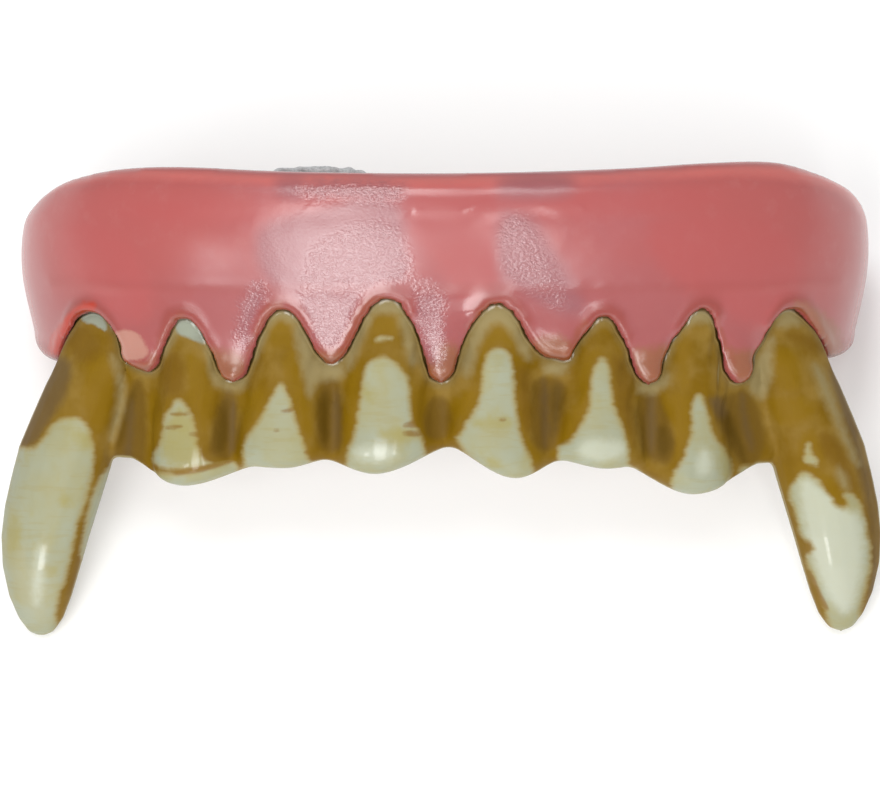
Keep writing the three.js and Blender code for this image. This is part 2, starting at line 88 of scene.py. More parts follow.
# Outlines of the clean ivory that the brown paint leaves open.
CLEAN_PATCHES = {
    "left_fang": [
        (20, 446), (27, 447), (35, 446), (41, 440), (46, 432), (51, 425), (59, 419), (68, 416),
        (79, 416), (86, 422), (91, 432), (94, 442), (96, 456), (94, 470), (91, 484), (88, 497),
        (84, 510), (78, 522), (76, 536), (73, 550), (71, 562), (67, 576), (62, 590), (59, 600),
        (57, 612), (58, 625), (54, 660), (-30, 660), (-30, 446),
    ],
    "left_fang_rear": [
        (110, 466), (103, 472), (97, 482), (91, 495), (87, 508), (84, 526), (81, 545), (78, 562),
        (110, 562), (140, 480), (124, 462),
    ],
    "first_tooth": [
        (180, 398), (172, 402), (170, 409), (164, 415), (162, 424), (162, 434), (159, 443),
        (154, 452), (151, 461), (158, 469), (180, 471), (214, 464), (206, 461), (201, 453),
        (198, 445), (197, 434), (195, 424), (193, 414), (187, 404),
    ],
    "first_tooth_edge": [
        (142, 472), (160, 472), (186, 473), (216, 465), (240, 458), (240, 500), (140, 500),
    ],
    "second_tooth": [
        (281, 381), (275, 387), (272, 395), (266, 405), (262, 414), (258, 421), (251, 430),
        (245, 437), (242, 446), (243, 480), (320, 480), (308, 455), (306, 447), (303, 440),
        (300, 430), (297, 420), (294, 411), (291, 401), (288, 391),
    ],
    "third_tooth": [
        (385, 355), (376, 357), (366, 364), (363, 371), (361, 385), (359, 401), (357, 411),
        (356, 421), (354, 431), (351, 441), (346, 451), (344, 480), (430, 480), (426, 449),
        (423, 441), (420, 432), (415, 425), (412, 417), (411, 403), (410, 389), (409, 377),
        (403, 370), (396, 362),
    ],
    "third_tooth_lip": [
        (374, 341), (376, 337), (384, 335), (392, 337), (394, 341), (386, 340), (378, 342),
    ],
    "fourth_tooth": [
        (500, 346), (493, 348), (488, 352), (484, 360), (482, 370), (481, 385), (479, 399),
        (475, 410), (468, 418), (463, 425), (460, 433), (452, 440), (500, 490), (536, 480),
        (533, 462), (530, 455), (526, 447), (522, 437), (519, 425), (517, 410), (515, 395),
        (515, 380), (514, 365), (511, 355), (506, 349),
    ],
    "fifth_tooth": [
        (602, 357), (597, 359), (594, 366), (591, 376), (590, 390), (590, 404), (586, 415),
        (580, 425), (575, 434), (571, 440), (562, 443), (556, 447), (560, 480), (632, 480),
        (629, 448), (628, 437), (622, 425), (618, 415), (614, 402), (612, 388), (611, 372),
        (608, 360),
    ],
    "sixth_tooth": [
        (700, 392), (695, 395), (692, 402), (690, 412), (692, 419), (690, 428), (691, 435),
        (688, 443), (684, 450), (682, 459), (678, 466), (671, 473), (668, 510), (726, 510),
        (729, 481), (733, 472), (732, 462), (728, 452), (722, 446), (717, 440), (714, 432),
        (711, 421), (708, 412), (706, 403),
    ],
    "sixth_tooth_rear": [
        (736, 480), (740, 466), (750, 466), (762, 461), (772, 466), (778, 490), (740, 500),
    ],
    "right_fang": [
        (789, 486), (796, 477), (801, 471), (808, 472), (817, 478), (824, 486), (830, 495),
        (835, 503), (841, 507), (848, 506), (846, 499), (841, 494), (846, 491), (854, 494),
        (861, 503), (866, 518), (869, 536), (872, 552), (871, 570), (867, 586), (862, 602),
        (860, 616), (862, 650), (836, 650), (827, 620), (824, 610), (819, 596), (814, 582),
        (808, 568), (804, 556), (811, 551), (812, 543), (803, 541), (798, 530), (795, 518),
        (793, 508), (788, 498),
    ],
    "right_fang_spike": [
        (803, 464), (804, 452), (806, 443), (811, 442), (812, 452), (818, 459), (820, 467),
        (811, 466),
    ],
}

# Bands of bare, bluish plastic at the necks of two teeth.
BARE_NECKS = {
    "left_fang": [
        (79, 320), (84, 308), (95, 302), (104, 316), (109, 335), (101, 329), (95, 325), (88, 324),
    ],
    "first_tooth": [
        (174, 333), (178, 314), (196, 312), (203, 328), (206, 346), (196, 342), (187, 338),
    ],
}

# Pale beige paint round the necks and under the tips of the gum.
PALE_NECKS = {
    "first_tooth_left": [(162, 352), (170, 332), (178, 324), (176, 334), (170, 344), (165, 356)],
    "first_web": [
        (206, 344), (212, 368), (222, 384), (238, 382), (248, 376), (242, 392), (226, 388),
        (212, 384),
    ],
    "second_tooth_top": [
        (266, 330), (272, 312), (284, 304), (296, 312), (302, 326), (290, 322), (280, 316),
        (270, 326),
    ],
    "second_tooth_right": [
        (292, 322), (302, 322), (312, 348), (322, 364), (344, 364), (346, 378), (316, 380),
        (310, 400), (305, 384), (300, 360),
    ],
    "second_tooth_left": [(250, 352), (262, 330), (268, 330), (262, 346), (254, 364)],
    "third_tooth_top": [
        (368, 312), (374, 298), (398, 298), (408, 316), (398, 314), (390, 312), (376, 314),
    ],
    "third_tooth_left": [
        (344, 366), (352, 340), (364, 314), (374, 314), (366, 332), (358, 350), (350, 372),
    ],
    "third_tooth_right": [(398, 314), (408, 316), (414, 340), (418, 362), (410, 366), (404, 340)],
    "fourth_tooth": [
        (460, 372), (466, 344), (478, 318), (490, 306), (508, 308), (520, 326), (528, 346),
        (532, 362), (522, 356), (514, 336), (504, 324), (494, 322), (484, 334), (476, 352),
        (470, 378),
    ],
    "fourth_web": [(542, 364), (568, 362), (566, 372), (556, 375), (544, 372)],
    "fifth_web": [
        (636, 386), (646, 383), (664, 380), (668, 372), (670, 384), (656, 392), (640, 394),
    ],
    "sixth_tooth": [(682, 324), (688, 308), (704, 308), (712, 322), (702, 322), (690, 324)],
    "right_fang_left": [
        (746, 384), (758, 358), (774, 334), (772, 352), (772, 376), (766, 396), (758, 400),
    ],
    "right_fang_top": [(776, 326), (784, 306), (794, 312), (804, 324), (792, 325), (782, 328)],
    "right_fang_streak": [
        (812, 360), (824, 372), (846, 432), (862, 470), (850, 456), (834, 420), (818, 386),
    ],
    "right_fang_low": [(836, 466), (844, 472), (850, 488), (845, 490), (839, 480)],
    "left_fang_right": [
        (110, 352), (118, 362), (125, 384), (122, 412), (110, 446), (112, 424), (119, 400),
        (117, 376),
    ],
}

# Where the brown paint pooled and is golden.
GOLDEN_POOLS = {
    "left_fang": [
        (86, 352), (100, 352), (112, 366), (114, 392), (104, 432), (94, 430), (88, 414), (80, 408),
        (84, 380),
    ],
    "first_tooth": [
        (184, 350), (202, 356), (210, 378), (212, 400), (206, 430), (200, 428), (196, 412),
        (188, 398), (186, 376),
    ],
    "first_tooth_left": [(148, 392), (158, 396), (158, 436), (152, 452), (148, 440)],
    "second_tooth_top": [(270, 326), (280, 318), (292, 326), (296, 346), (280, 350), (268, 344)],
    "second_tooth": [
        (284, 348), (296, 348), (302, 368), (308, 396), (314, 420), (312, 440), (304, 434),
        (298, 414), (292, 390), (284, 374),
    ],
    "second_tooth_left": [(240, 398), (256, 388), (266, 396), (258, 416), (244, 434), (240, 420)],
    "third_tooth": [(372, 322), (377, 313), (394, 314), (398, 330), (392, 334), (376, 334)],
    "third_tooth_left": [(348, 372), (358, 364), (358, 396), (354, 430), (346, 448), (346, 410)],
    "fourth_tooth": [
        (480, 356), (484, 336), (498, 322), (512, 334), (518, 350), (508, 346), (498, 342),
        (488, 348), (480, 368),
    ],
    "fourth_tooth_left": [(454, 396), (476, 386), (480, 396), (472, 412), (458, 420), (452, 412)],
    "fourth_tooth_right": [(526, 440), (540, 450), (546, 462), (536, 470), (530, 456)],
    "fifth_tooth": [
        (584, 352), (604, 346), (596, 358), (588, 380), (588, 404), (580, 420), (568, 440),
        (562, 438), (574, 408), (580, 380),
    ],
    "sixth_tooth_edge": [(680, 332), (686, 328), (690, 360), (688, 394), (680, 396), (677, 360)],
    "sixth_tooth_left": [
        (664, 394), (690, 392), (690, 430), (686, 444), (676, 462), (670, 452), (674, 430),
        (664, 410),
    ],
    "right_fang": [
        (770, 352), (786, 346), (800, 356), (802, 386), (790, 394), (776, 386), (772, 364),
    ],
    "right_fang_mid": [
        (766, 398), (782, 394), (808, 398), (816, 414), (800, 426), (776, 424), (768, 412),
    ],
    "right_fang_side": [(772, 462), (782, 462), (790, 478), (786, 500), (780, 490)],
    "right_fang_tongue": [
        (798, 466), (804, 464), (820, 470), (832, 476), (842, 494), (848, 505), (840, 507),
        (830, 496), (820, 480), (808, 471),
    ],
    "right_fang_spike": [
        (800, 436), (812, 430), (822, 444), (826, 464), (819, 458), (812, 444), (803, 446),
        (800, 458),
    ],
}

# Reddish-brown paint.
BROWN_SHADES = {
    "first_tooth": [(164, 352), (184, 352), (186, 392), (172, 398), (160, 392)],
    "fourth_tooth": [(516, 364), (530, 366), (534, 400), (532, 434), (524, 430), (518, 400)],
    "fifth_tooth": [
        (612, 350), (628, 362), (634, 400), (636, 450), (630, 440), (616, 404), (612, 372),
    ],
    "right_fang": [(796, 330), (822, 342), (826, 354), (812, 352), (798, 346), (784, 334)],
    "right_fang_mid": [(820, 430), (842, 440), (860, 490), (852, 492), (836, 468), (820, 452)],
    "left_fang": [
        (90, 500), (98, 484), (94, 520), (86, 548), (76, 580), (66, 600), (72, 572), (78, 540),
    ],
    "left_fang_neck": [(72, 326), (92, 326), (102, 344), (96, 362), (76, 362), (66, 340)],
}

# The darkest brown, in the sunken webs between the teeth: stain and painted shade.
DARK_WEBS = {
    "left_fang": [
        (131, 380), (146, 378), (147, 463), (140, 465), (134, 459), (120, 459), (112, 463),
        (114, 446), (121, 420),
    ],
    "first": [
        (224, 388), (233, 386), (237, 400), (238, 430), (236, 452), (228, 460), (216, 458),
        (208, 450), (212, 430), (217, 408),
    ],
    "second": [
        (322, 377), (340, 376), (342, 400), (342, 447), (336, 454), (326, 452), (317, 446),
        (316, 420), (318, 394),
    ],
    "third": [
        (428, 400), (436, 396), (445, 397), (450, 406), (451, 421), (447, 437), (438, 441),
        (428, 438), (423, 429), (424, 413),
    ],
    "fourth": [
        (534, 376), (562, 378), (568, 392), (564, 412), (558, 440), (550, 454), (538, 450),
        (530, 436), (532, 400),
    ],
    "fifth": [
        (638, 390), (656, 388), (664, 408), (674, 430), (676, 452), (668, 465), (656, 462),
        (645, 456), (640, 440), (637, 410),
    ],
    "sixth": [
        (710, 398), (730, 394), (744, 388), (754, 396), (763, 420), (766, 444), (760, 460),
        (748, 466), (738, 464), (730, 446), (716, 420),
    ],
}

# The deepest brown of the webs: stain and painted shade.
DEEP_WEBS = {
    "left_fang": [(130, 390), (138, 388), (130, 420), (122, 446), (116, 448), (122, 420)],
    "first": [(222, 400), (230, 398), (230, 440), (222, 454), (212, 448), (217, 424)],
    "second": [(319, 394), (330, 388), (331, 440), (322, 444), (318, 424)],
    "fourth": [(550, 384), (562, 384), (564, 398), (558, 426), (552, 442), (550, 420)],
    "fifth": [(656, 424), (668, 426), (674, 446), (664, 460), (654, 450)],
    "sixth": [(722, 410), (732, 414), (742, 440), (748, 462), (742, 464), (734, 446), (724, 428)],
}

# Grey-brown paint and the dull sheen of the webs.
GREY_PAINT_AND_SHEEN = {
    "left_fang": [
        (62, 352), (74, 366), (68, 394), (54, 416), (40, 438), (30, 448), (18, 446), (0, 448),
        (0, 380),
    ],
    "left_fang_web": [(129, 400), (135, 400), (134, 440), (132, 460), (122, 460), (127, 430)],
    "first_web": [(231, 400), (236, 400), (236, 444), (230, 456), (230, 430)],
    "second_web": [(333, 390), (341, 390), (341, 442), (334, 450)],
    "fourth_web": [(539, 378), (549, 378), (550, 446), (541, 448)],
    "fifth_web": [(645, 392), (655, 392), (656, 450), (647, 454)],
    "sixth_tooth": [(706, 396), (722, 396), (728, 412), (722, 420), (714, 414)],
    "sixth_web": [(738, 394), (745, 392), (748, 420), (756, 448), (750, 452), (742, 430)],
    "right_fang": [
        (828, 362), (846, 384), (868, 470), (876, 530), (878, 590), (866, 606), (873, 560),
        (866, 500), (850, 440), (836, 400),
    ],
}

# The whitest ivory, and painted highlights on the left fang and the third tooth.
WHITE_IVORY_AND_HIGHLIGHTS = {
    "fifth_tooth": [(580, 441), (604, 438), (628, 443), (624, 458), (600, 462), (576, 458)],
    "sixth_tooth": [(700, 448), (710, 450), (714, 468), (704, 478), (694, 470)],
    "right_fang": [
        (796, 484), (808, 476), (826, 492), (846, 510), (862, 512), (866, 560), (852, 620),
        (826, 600), (806, 540),
    ],
    "left_fang": [(36, 545), (46, 545), (42, 604), (30, 604)],
    "third_tooth": [(352, 446), (392, 444), (400, 460), (356, 462)],
}

# Small brown marks on the clean ivory.
BROWN_MARKS = {
    "first_streak": [(186, 434), (194, 432), (203, 434), (202, 438), (194, 436)],
    "first_top_streak": [(168, 414), (180, 412), (192, 412), (190, 415), (178, 416)],
    "first_low_streak": [(164, 427), (176, 425), (184, 425), (180, 428), (168, 430)],
    "first_line": [
        (172, 471), (190, 469), (216, 464), (238, 458), (230, 463), (206, 471), (186, 474),
        (173, 475),
    ],
    "first_hook": [(145, 460), (152, 464), (157, 465), (158, 469), (150, 471)],
    "second_streak": [(280, 411), (288, 408), (297, 408), (291, 412), (283, 413)],
    "second_dot": [(285, 387), (291, 387), (291, 391), (287, 391)],
    "second_low_dot": [(273, 429), (279, 429), (279, 432), (274, 432)],
    "second_corner": [(302, 452), (312, 449), (322, 450), (320, 453), (308, 455)],
    "third_streak": [(400, 426), (412, 420), (424, 419), (424, 426), (410, 428)],
    "third_low_streak": [(398, 434), (412, 430), (424, 434), (416, 437)],
    "third_corner": [(424, 442), (442, 438), (436, 446), (425, 450)],
    "fourth_dot": [(498, 418), (506, 418), (506, 421), (500, 421)],
    "left_fang_dot": [(80, 319), (84, 319), (84, 327), (80, 327)],
    "right_fang_blob": [(801, 544), (811, 543), (811, 551), (804, 553)],
    "right_fang_low": [
        (806, 569), (812, 572), (820, 592), (830, 610), (824, 609), (814, 592), (808, 578),
    ],
}

# Yellowed ivory.
YELLOW_BLOTCHES = {
    "first_tooth_all": [(176, 408), (190, 408), (200, 440), (206, 462), (164, 466), (162, 436)],
    "left_fang_top": [(74, 430), (92, 432), (92, 450), (80, 448)],
    "left_fang_mid": [(58, 496), (70, 496), (72, 504), (62, 508)],
    "left_fang_side": [(8, 516), (18, 516), (20, 548), (8, 552)],
    "left_fang_low": [(44, 566), (56, 566), (56, 576), (46, 576)],
    "first_tooth": [(186, 440), (198, 444), (204, 458), (192, 454)],
    "first_tooth_low": [(148, 472), (170, 472), (170, 480), (152, 480)],
    "third_tooth": [(362, 384), (376, 390), (372, 404), (362, 400)],
    "third_tooth_low": [(376, 432), (410, 428), (422, 440), (390, 444)],
    "fourth_tooth": [(468, 418), (510, 416), (514, 428), (480, 430)],
    "fourth_tooth_low": [(484, 458), (500, 458), (500, 468), (488, 466)],
    "sixth_tooth": [(718, 446), (728, 454), (732, 476), (722, 484)],
}

# Polished ivory: two worn lower edges and the fangs' ends.
POLISHED = {
    "left_fang": [(22, 546), (46, 540), (56, 580), (48, 620), (30, 618), (20, 580)],
    "first_tooth": [(166, 458), (204, 456), (214, 466), (170, 470)],
    "third_tooth": [(358, 446), (396, 446), (396, 458), (356, 458)],
    "right_fang": [(812, 530), (830, 530), (846, 576), (848, 612), (834, 606), (818, 570)],
}

# Brown stains at the tips of the gum.
GUM_STAINS = {
    "left_fang": [(120, 362), (148, 368), (158, 352), (160, 366), (146, 382), (124, 372)],
    "first": [(206, 346), (220, 352), (240, 356), (248, 366), (240, 388), (216, 386)],
    "second": [(318, 352), (332, 356), (346, 350), (342, 366), (328, 372), (316, 364)],
    "third": [(440, 344), (456, 346), (462, 364), (448, 386), (426, 382), (422, 362), (434, 362)],
    "fourth": [(532, 344), (546, 338), (560, 338), (572, 346), (568, 366), (536, 364)],
    "fifth": [(630, 350), (648, 352), (668, 344), (668, 366), (656, 390), (636, 386)],
    "sixth": [(724, 350), (738, 354), (752, 350), (756, 366), (744, 390), (730, 386)],
    "right_fang": [
        (792, 304), (808, 306), (824, 316), (840, 334), (840, 352), (828, 360), (814, 334),
    ],
}

# Red-brown painted shade along the left side of the arches, on the gum's rounded edge.
SHADED_EDGES = {
    "first": [
        (148, 372), (158, 344), (168, 324), (178, 312), (186, 316), (176, 332), (166, 352),
        (160, 372),
    ],
    "second": [
        (242, 372), (248, 344), (258, 322), (268, 306), (280, 300), (284, 308), (270, 326),
        (258, 350), (252, 374),
    ],
    "third": [
        (338, 356), (346, 328), (358, 308), (370, 296), (384, 294), (384, 304), (370, 318),
        (358, 340), (348, 360),
    ],
    "fourth": [
        (458, 368), (464, 340), (472, 316), (484, 302), (498, 300), (498, 308), (484, 318),
        (476, 340), (468, 364),
    ],
    "fifth": [(566, 358), (572, 338), (580, 322), (588, 318), (588, 328), (578, 346), (572, 362)],
    "sixth": [(704, 304), (716, 318), (726, 340), (736, 364), (730, 372), (718, 344), (706, 318)],
}

# A pale spot on the gum, and the red paint beside the left fang.
PALE_GUM = {
    "first": [
        (110, 332), (130, 329), (141, 334), (148, 346), (147, 358), (141, 362), (120, 360),
        (112, 346),
    ],
}
RED_GUM = {
    "left_fang": [
        (48, 352), (52, 336), (66, 318), (82, 304), (96, 302), (92, 312), (80, 324), (70, 340),
        (64, 354),
    ],
}

# Where the gum goes a little further than its facets do, in photograph pixels: the place, how far
# to the right and down, and the reach.
GUM_MOVES = {
    "left_corner": (52, 194, -2.5, -4, 24),
    "right_corner": (844, 191, 3, -4, 24),
    "left_fang_arch": (80, 322, -4, -2, 18),
    "left_fang_tip": (128, 360, -9, 1, 13),
    "first_tip": (233, 382, -1, -3, 9),
    "fourth_tip": (579, 352, -6, 0, 12),
    "sixth_tip": (740, 374, 5, 0, 14),
    "right_fang_arch": (760, 342, 5, 0, 12),
}

# The gum's top band, painted a brighter red to make up for the shade it lies in, and a darker red
# painted as shade in the groove under it, in the middle and at the sides.
RIM_PAINTED_LIGHT = {
    "rim": [
        (4, 240), (14, 222), (30, 198), (54, 184), (100, 175), (140, 175), (200, 177), (280, 182),
        (360, 184), (440, 184), (520, 183), (600, 178), (680, 174), (740, 172), (790, 176),
        (836, 184), (864, 206), (876, 240), (890, 240), (890, 140), (440, 140), (-10, 140),
        (-10, 240),
    ],
}
SHADED_RED_GUM = {
    "left_groove": [
        (130, 206), (200, 200), (300, 202), (346, 204), (340, 220), (260, 222), (180, 222),
        (130, 218),
    ],
    "middle": [
        (412, 184), (470, 182), (500, 192), (500, 280), (480, 300), (452, 290), (440, 262),
        (420, 240), (410, 216),
    ],
    "right_groove": [
        (500, 196), (580, 190), (660, 188), (720, 190), (720, 206), (620, 216), (520, 214),
    ],
    "left_side": [(60, 220), (120, 230), (150, 280), (150, 320), (120, 322), (90, 290), (60, 270)],
    "right_side": [
        (640, 220), (740, 214), (800, 240), (800, 300), (760, 330), (720, 310), (660, 270),
    ],
}

# Where the gum's gloss is dull; the painted highlight tint is laid here too.
MATT_GUM = {
    "left": [
        (256, 236), (280, 218), (340, 206), (352, 198), (396, 198), (404, 240), (404, 270),
        (384, 280), (362, 290), (346, 340), (310, 340), (300, 300), (272, 284), (258, 262),
    ],
    "left_top": [(276, 180), (304, 178), (304, 198), (280, 196)],
    "right_top": [(500, 176), (572, 174), (572, 196), (500, 198)],
    "right": [(498, 214), (530, 214), (552, 250), (590, 310), (566, 316), (518, 290), (498, 270)],
}

# Where the gum is wrinkled and sparkles in the light; the painted highlight tint is laid here too.
WRINKLED_GUM = {
    "left": [(240, 352), (238, 316), (250, 284), (264, 282), (268, 298), (256, 314), (248, 342)],
    "middle": [
        (306, 268), (310, 248), (336, 232), (380, 222), (404, 240), (412, 280), (384, 284),
        (362, 296), (350, 318), (342, 350), (322, 354), (314, 328), (304, 300),
    ],
    "top": [(298, 182), (402, 180), (404, 198), (382, 203), (340, 197), (300, 196)],
    "third_tip": [(408, 284), (442, 284), (444, 330), (440, 372), (430, 370), (420, 336)],
    "right": [(502, 218), (526, 220), (546, 256), (568, 296), (560, 308), (520, 284), (502, 266)],
}

STAGE_LIGHT = 1.6  # what white paper in the denture's place sends back on the stage
STAGE_SHEEN = 0.022  # what its gloss adds
GUM_CHARTS = {
    "stain": GUM_STAINS,
    "edge": SHADED_EDGES,
    "peach": PALE_GUM,
    "red": RED_GUM,
    "rim": RIM_PAINTED_LIGHT,
    "redder": SHADED_RED_GUM,
    "matt": MATT_GUM,
    "wrinkled": WRINKLED_GUM,
}
TOOTH_CHARTS = {
    "clean": CLEAN_PATCHES,
    "bare": BARE_NECKS,
    "pale": PALE_NECKS,
    "golden": GOLDEN_POOLS,
    "brown": BROWN_SHADES,
    "web": DARK_WEBS,
    "deep": DEEP_WEBS,
    "grey": GREY_PAINT_AND_SHEEN,
    "white": WHITE_IVORY_AND_HIGHLIGHTS,
    "mark": BROWN_MARKS,
    "yellow": YELLOW_BLOTCHES,
    "polished": POLISHED,
}

# The shaping, in millimetres, where a pair is where something starts and where it is full.
MERGE = 1e-4  # corners of loose triangles that are nearer than this are one
MOUTH_MIDDLE = np.array((0, 20))
CHART_REACH = 3  # the charts' depths end here outside their outlines
COVER_REACH = 3  # what the gum hides of the teeth is no further behind it than this
EDGE_TOP = 8  # the gum's lower edge is all under this height
EDGE_FACING = -0.55  # and its points face down by at least this
RIM_START = 12  # the gum's rim and the groove under it are above this height in the view
RIM_FADE = 2
RIM_KEPT = 0.88  # how much of the rim's and the groove's form the ironing leaves
OUTER_FACING = (0.1, 0.6)  # the gum's outer side, by how far it faces away from the mouth's middle
IRONED_MARGIN = (0.8, 2.0)  # the ironed front, by its distance from the gum's edge
EDGE_MARGIN = (0.4, 1.0)  # the edge's own ironing ends here
EDGE_ROUNDS = 6
ROLL_MARGIN = (0.2, 1.2)  # the roll along the edge ends here
ROLL_BACK = (14, 20)  # and here, towards the back of the mouth
MOVED_FACING = -0.1  # only points that face the camera by this give a move its direction
FRONT_FACING = (0.05, 0.35)  # the front of the teeth, by how far it faces the camera
COLLAR_SHOWN = (0.5, 2.4)  # the collar where it shows, by its distance from the gum's edge
COLLAR_HIDDEN = (0.3, 1.0)  # and behind the gum
WEB_SIDE = (-0.6, 0.6)  # the sunken webs, by the depth inside their outlines
SWELL_SIDE = (-1.2, 1.2)  # the polished edges, likewise
RELAX_PULL, RELAX_PUSH = 0.5, -0.52  # the two steps of a round that smooths and keeps the size
LAST_ROUNDS = 3  # such rounds at a piece's end
SOFT_ROUNDS = 4  # rounds that even a value out between neighbouring points
SOFTER_ROUNDS = 6
SEAM_ROUNDS = 7

# The soft unevenness of the cast plastic: the size of its waves and their depth.
GUM_LUMPS = (9, 0.02)
TOOTH_LUMPS = (6, 0.025)
PUTTY_LUMPS = (1.6, 0.12)
PUTTY_GRAINS = (0.9, 0.05)


def seen(red, green, blue):
    """The plastic's own colour for one that is seen in the photograph, from its 0 to 255 values."""
    def own(value):
        share = value / 255
        light = share / 12.92 if share <= 0.04045 else ((share + 0.055) / 1.055) ** 2.4
        return max(light - STAGE_SHEEN, 0) / STAGE_LIGHT

    return own(red), own(green), own(blue)


# How each chart is painted: where its paint starts and is full, in millimetres inside its outlines,
# how strong it is, how ragged its side is, in millimetres, and its colour. None is a colour that
# comes from the settings.
GUM_PAINT = {
    # redder: painted shade, a darker red where the gum catches no sheen and at its sides
    "redder": (-0.9, 0.7, 0.6, 1.2, seen(198, 96, 94)),
    # rim: painted light, a brighter red that makes up for the top band's shade
    "rim": (-0.7, 0.3, 0.75, 0.2, seen(236, 126, 118)),
    "stain": (-0.7, 0.35, 0.9, 0.8, None),
    # edge: painted shade on the rounded edge of the arches
    "edge": (-0.35, 0.35, 0.75, 0.5, seen(164, 84, 58)),
    "peach": (-0.12, 0.2, 0.85, 0.5, seen(206, 150, 132)),
    "red": (-0.35, 0.15, 0.95, 0.4, seen(196, 62, 36)),
}
TOOTH_PAINT = {
    # white: whiter ivory, and painted highlights on the left fang and the third tooth
    "white": (-0.5, 0.6, 0.85, 0.5, seen(208, 211, 190)),
    "yellow": (-0.5, 0.4, 0.6, 0.8, seen(176, 164, 98)),
    "mark": (-0.14, 0.1, 0.65, 0.2, seen(142, 100, 40)),
    "golden": (-0.5, 0.5, 0.85, 0.7, None),
    "brown": (-0.5, 0.5, 0.8, 0.6, seen(134, 102, 46)),
    # web, deep: stain and painted shade in the sunken webs
    "web": (-0.3, 0.35, 0.92, 0.3, None),
    "deep": (-0.35, 0.45, 0.8, 0.3, seen(106, 83, 42)),
    # grey: grey-brown paint, and a painted reflection down the webs
    "grey": (-0.35, 0.45, 0.8, 0.4, None),
    "pale": (-0.5, 0.45, 0.75, 0.6, seen(170, 156, 114)),
    "bare": (-0.12, 0.18, 0.95, 0.3, seen(170, 177, 160)),
}

# The finishes' other colours.
MOTTLED_PINK = seen(206, 128, 126)
SHADED_PINK = seen(166, 88, 84)
# Painted shade on the gum's rolled edge along the teeth.
ROLL_SHADE_PINK = seen(166, 76, 68)
# Painted shade at the very edge of the gum, next to the teeth.
LIP_SHADE_BROWN = seen(130, 72, 52)
# A less red pink painted where the gum's highlights fall: part of the painted look of its lit patches.
HIGHLIGHT_TINT_PINK = seen(162, 96, 102)
COOL_IVORY = seen(180, 183, 158)
YELLOWED_IVORY = seen(180, 172, 118)
STREAKED_IVORY = seen(176, 166, 116)
BRUSHED_IVORY = seen(172, 148, 84)
DARKER_TAN = seen(140, 108, 42)
SEAM_TAN = seen(158, 144, 102)
SEAM_SHADOW = seen(110, 84, 44)
SEAM_LINE = seen(82, 64, 42)
PUTTY_DARK, PUTTY_PALE = seen(200, 202, 204), seen(248, 249, 250)
PUTTY_WARM = seen(186, 180, 176)
TABLE_PALE = (0.97, 0.97, 0.97)

TOOTH_RIPPLE = 0.06 * MM
PUTTY_RIPPLE = 0.12 * MM
MIDDLE_SPREAD = 500  # square millimetres: the gum's paler middle ends where across squared is this, and beyond it the sides are painted deeper red as shade
SIDE_SPREAD = 225  # and its duller sides are full before this
LINE_START, LINE_FULL = -17.5, -14  # the seam's dark line is stronger to the right of the first tooth


def smoothstep(values, low, high):
    """0 below low, 1 above high and a smooth rise between them, on numbers or arrays."""
    share = np.clip((values - low) / (high - low), 0, 1)
    return share * share * (3 - 2 * share)


# Shaping

def worn_bmesh(node):
    """A CAD node's mesh with its loose triangles joined, in the worn frame."""
    shape = bmesh.new()
    shape.from_mesh(frame["nodes"][node].data)
    bmesh.ops.transform(shape, matrix=ROW_TO_WORN, verts=shape.verts)
    bmesh.ops.remove_doubles(shape, verts=shape.verts, dist=MERGE)
    return shape


def even_copy(node, name, cell):
    """A new object with a CAD node's form in even small faces, in the worn frame."""
    shape = worn_bmesh(node)
    mesh = bpy.data.meshes.new(name)
    shape.to_mesh(mesh)
    shape.free()
    piece = bpy.data.objects.new(name, mesh)
    bpy.context.scene.collection.objects.link(piece)
    remesh = piece.modifiers.new("Remesh", "REMESH")
    remesh.mode = "VOXEL"
    remesh.voxel_size = cell
    remesh.adaptivity = 0
    depsgraph = bpy.context.evaluated_depsgraph_get()
    piece.data = bpy.data.meshes.new_from_object(piece.evaluated_get(depsgraph))
    piece.modifiers.clear()
    bpy.data.meshes.remove(mesh)
    piece.data.name = name
    return piece


def points_of(mesh):
    """The mesh's points, one in each row."""
    points = np.empty(3 * len(mesh.vertices))
    mesh.vertices.foreach_get("co", points)
    return points.reshape(-1, 3)


def set_points(mesh, points):
    mesh.vertices.foreach_set("co", points.ravel())
    mesh.update()


def normals_of(mesh):
    normals = np.empty(3 * len(mesh.vertices))
    mesh.vertex_normals.foreach_get("vector", normals)
    return normals.reshape(-1, 3)


def edges_of(mesh):
    """The points where the mesh's edges start and those where they end."""
    edges = np.empty(2 * len(mesh.edges), dtype=np.int64)
    mesh.edges.foreach_get("vertices", edges)
    return edges.reshape(-1, 2).T


def relax(mesh, rounds):
    """Smooths the facets away and pushes back after each round, so that the form doesn't shrink."""
    starts, ends = edges_of(mesh)
    points = points_of(mesh)
    count = len(points)
    neighbours = np.bincount(starts, minlength=count) + np.bincount(ends, minlength=count)
    for factor in (RELAX_PULL, RELAX_PUSH) * rounds:
        for axis in range(3):
            line = points[:, axis]
            total = np.bincount(starts, line[ends], count) + np.bincount(ends, line[starts], count)
            points[:, axis] = line + factor * (total / neighbours - line)
    set_points(mesh, points)


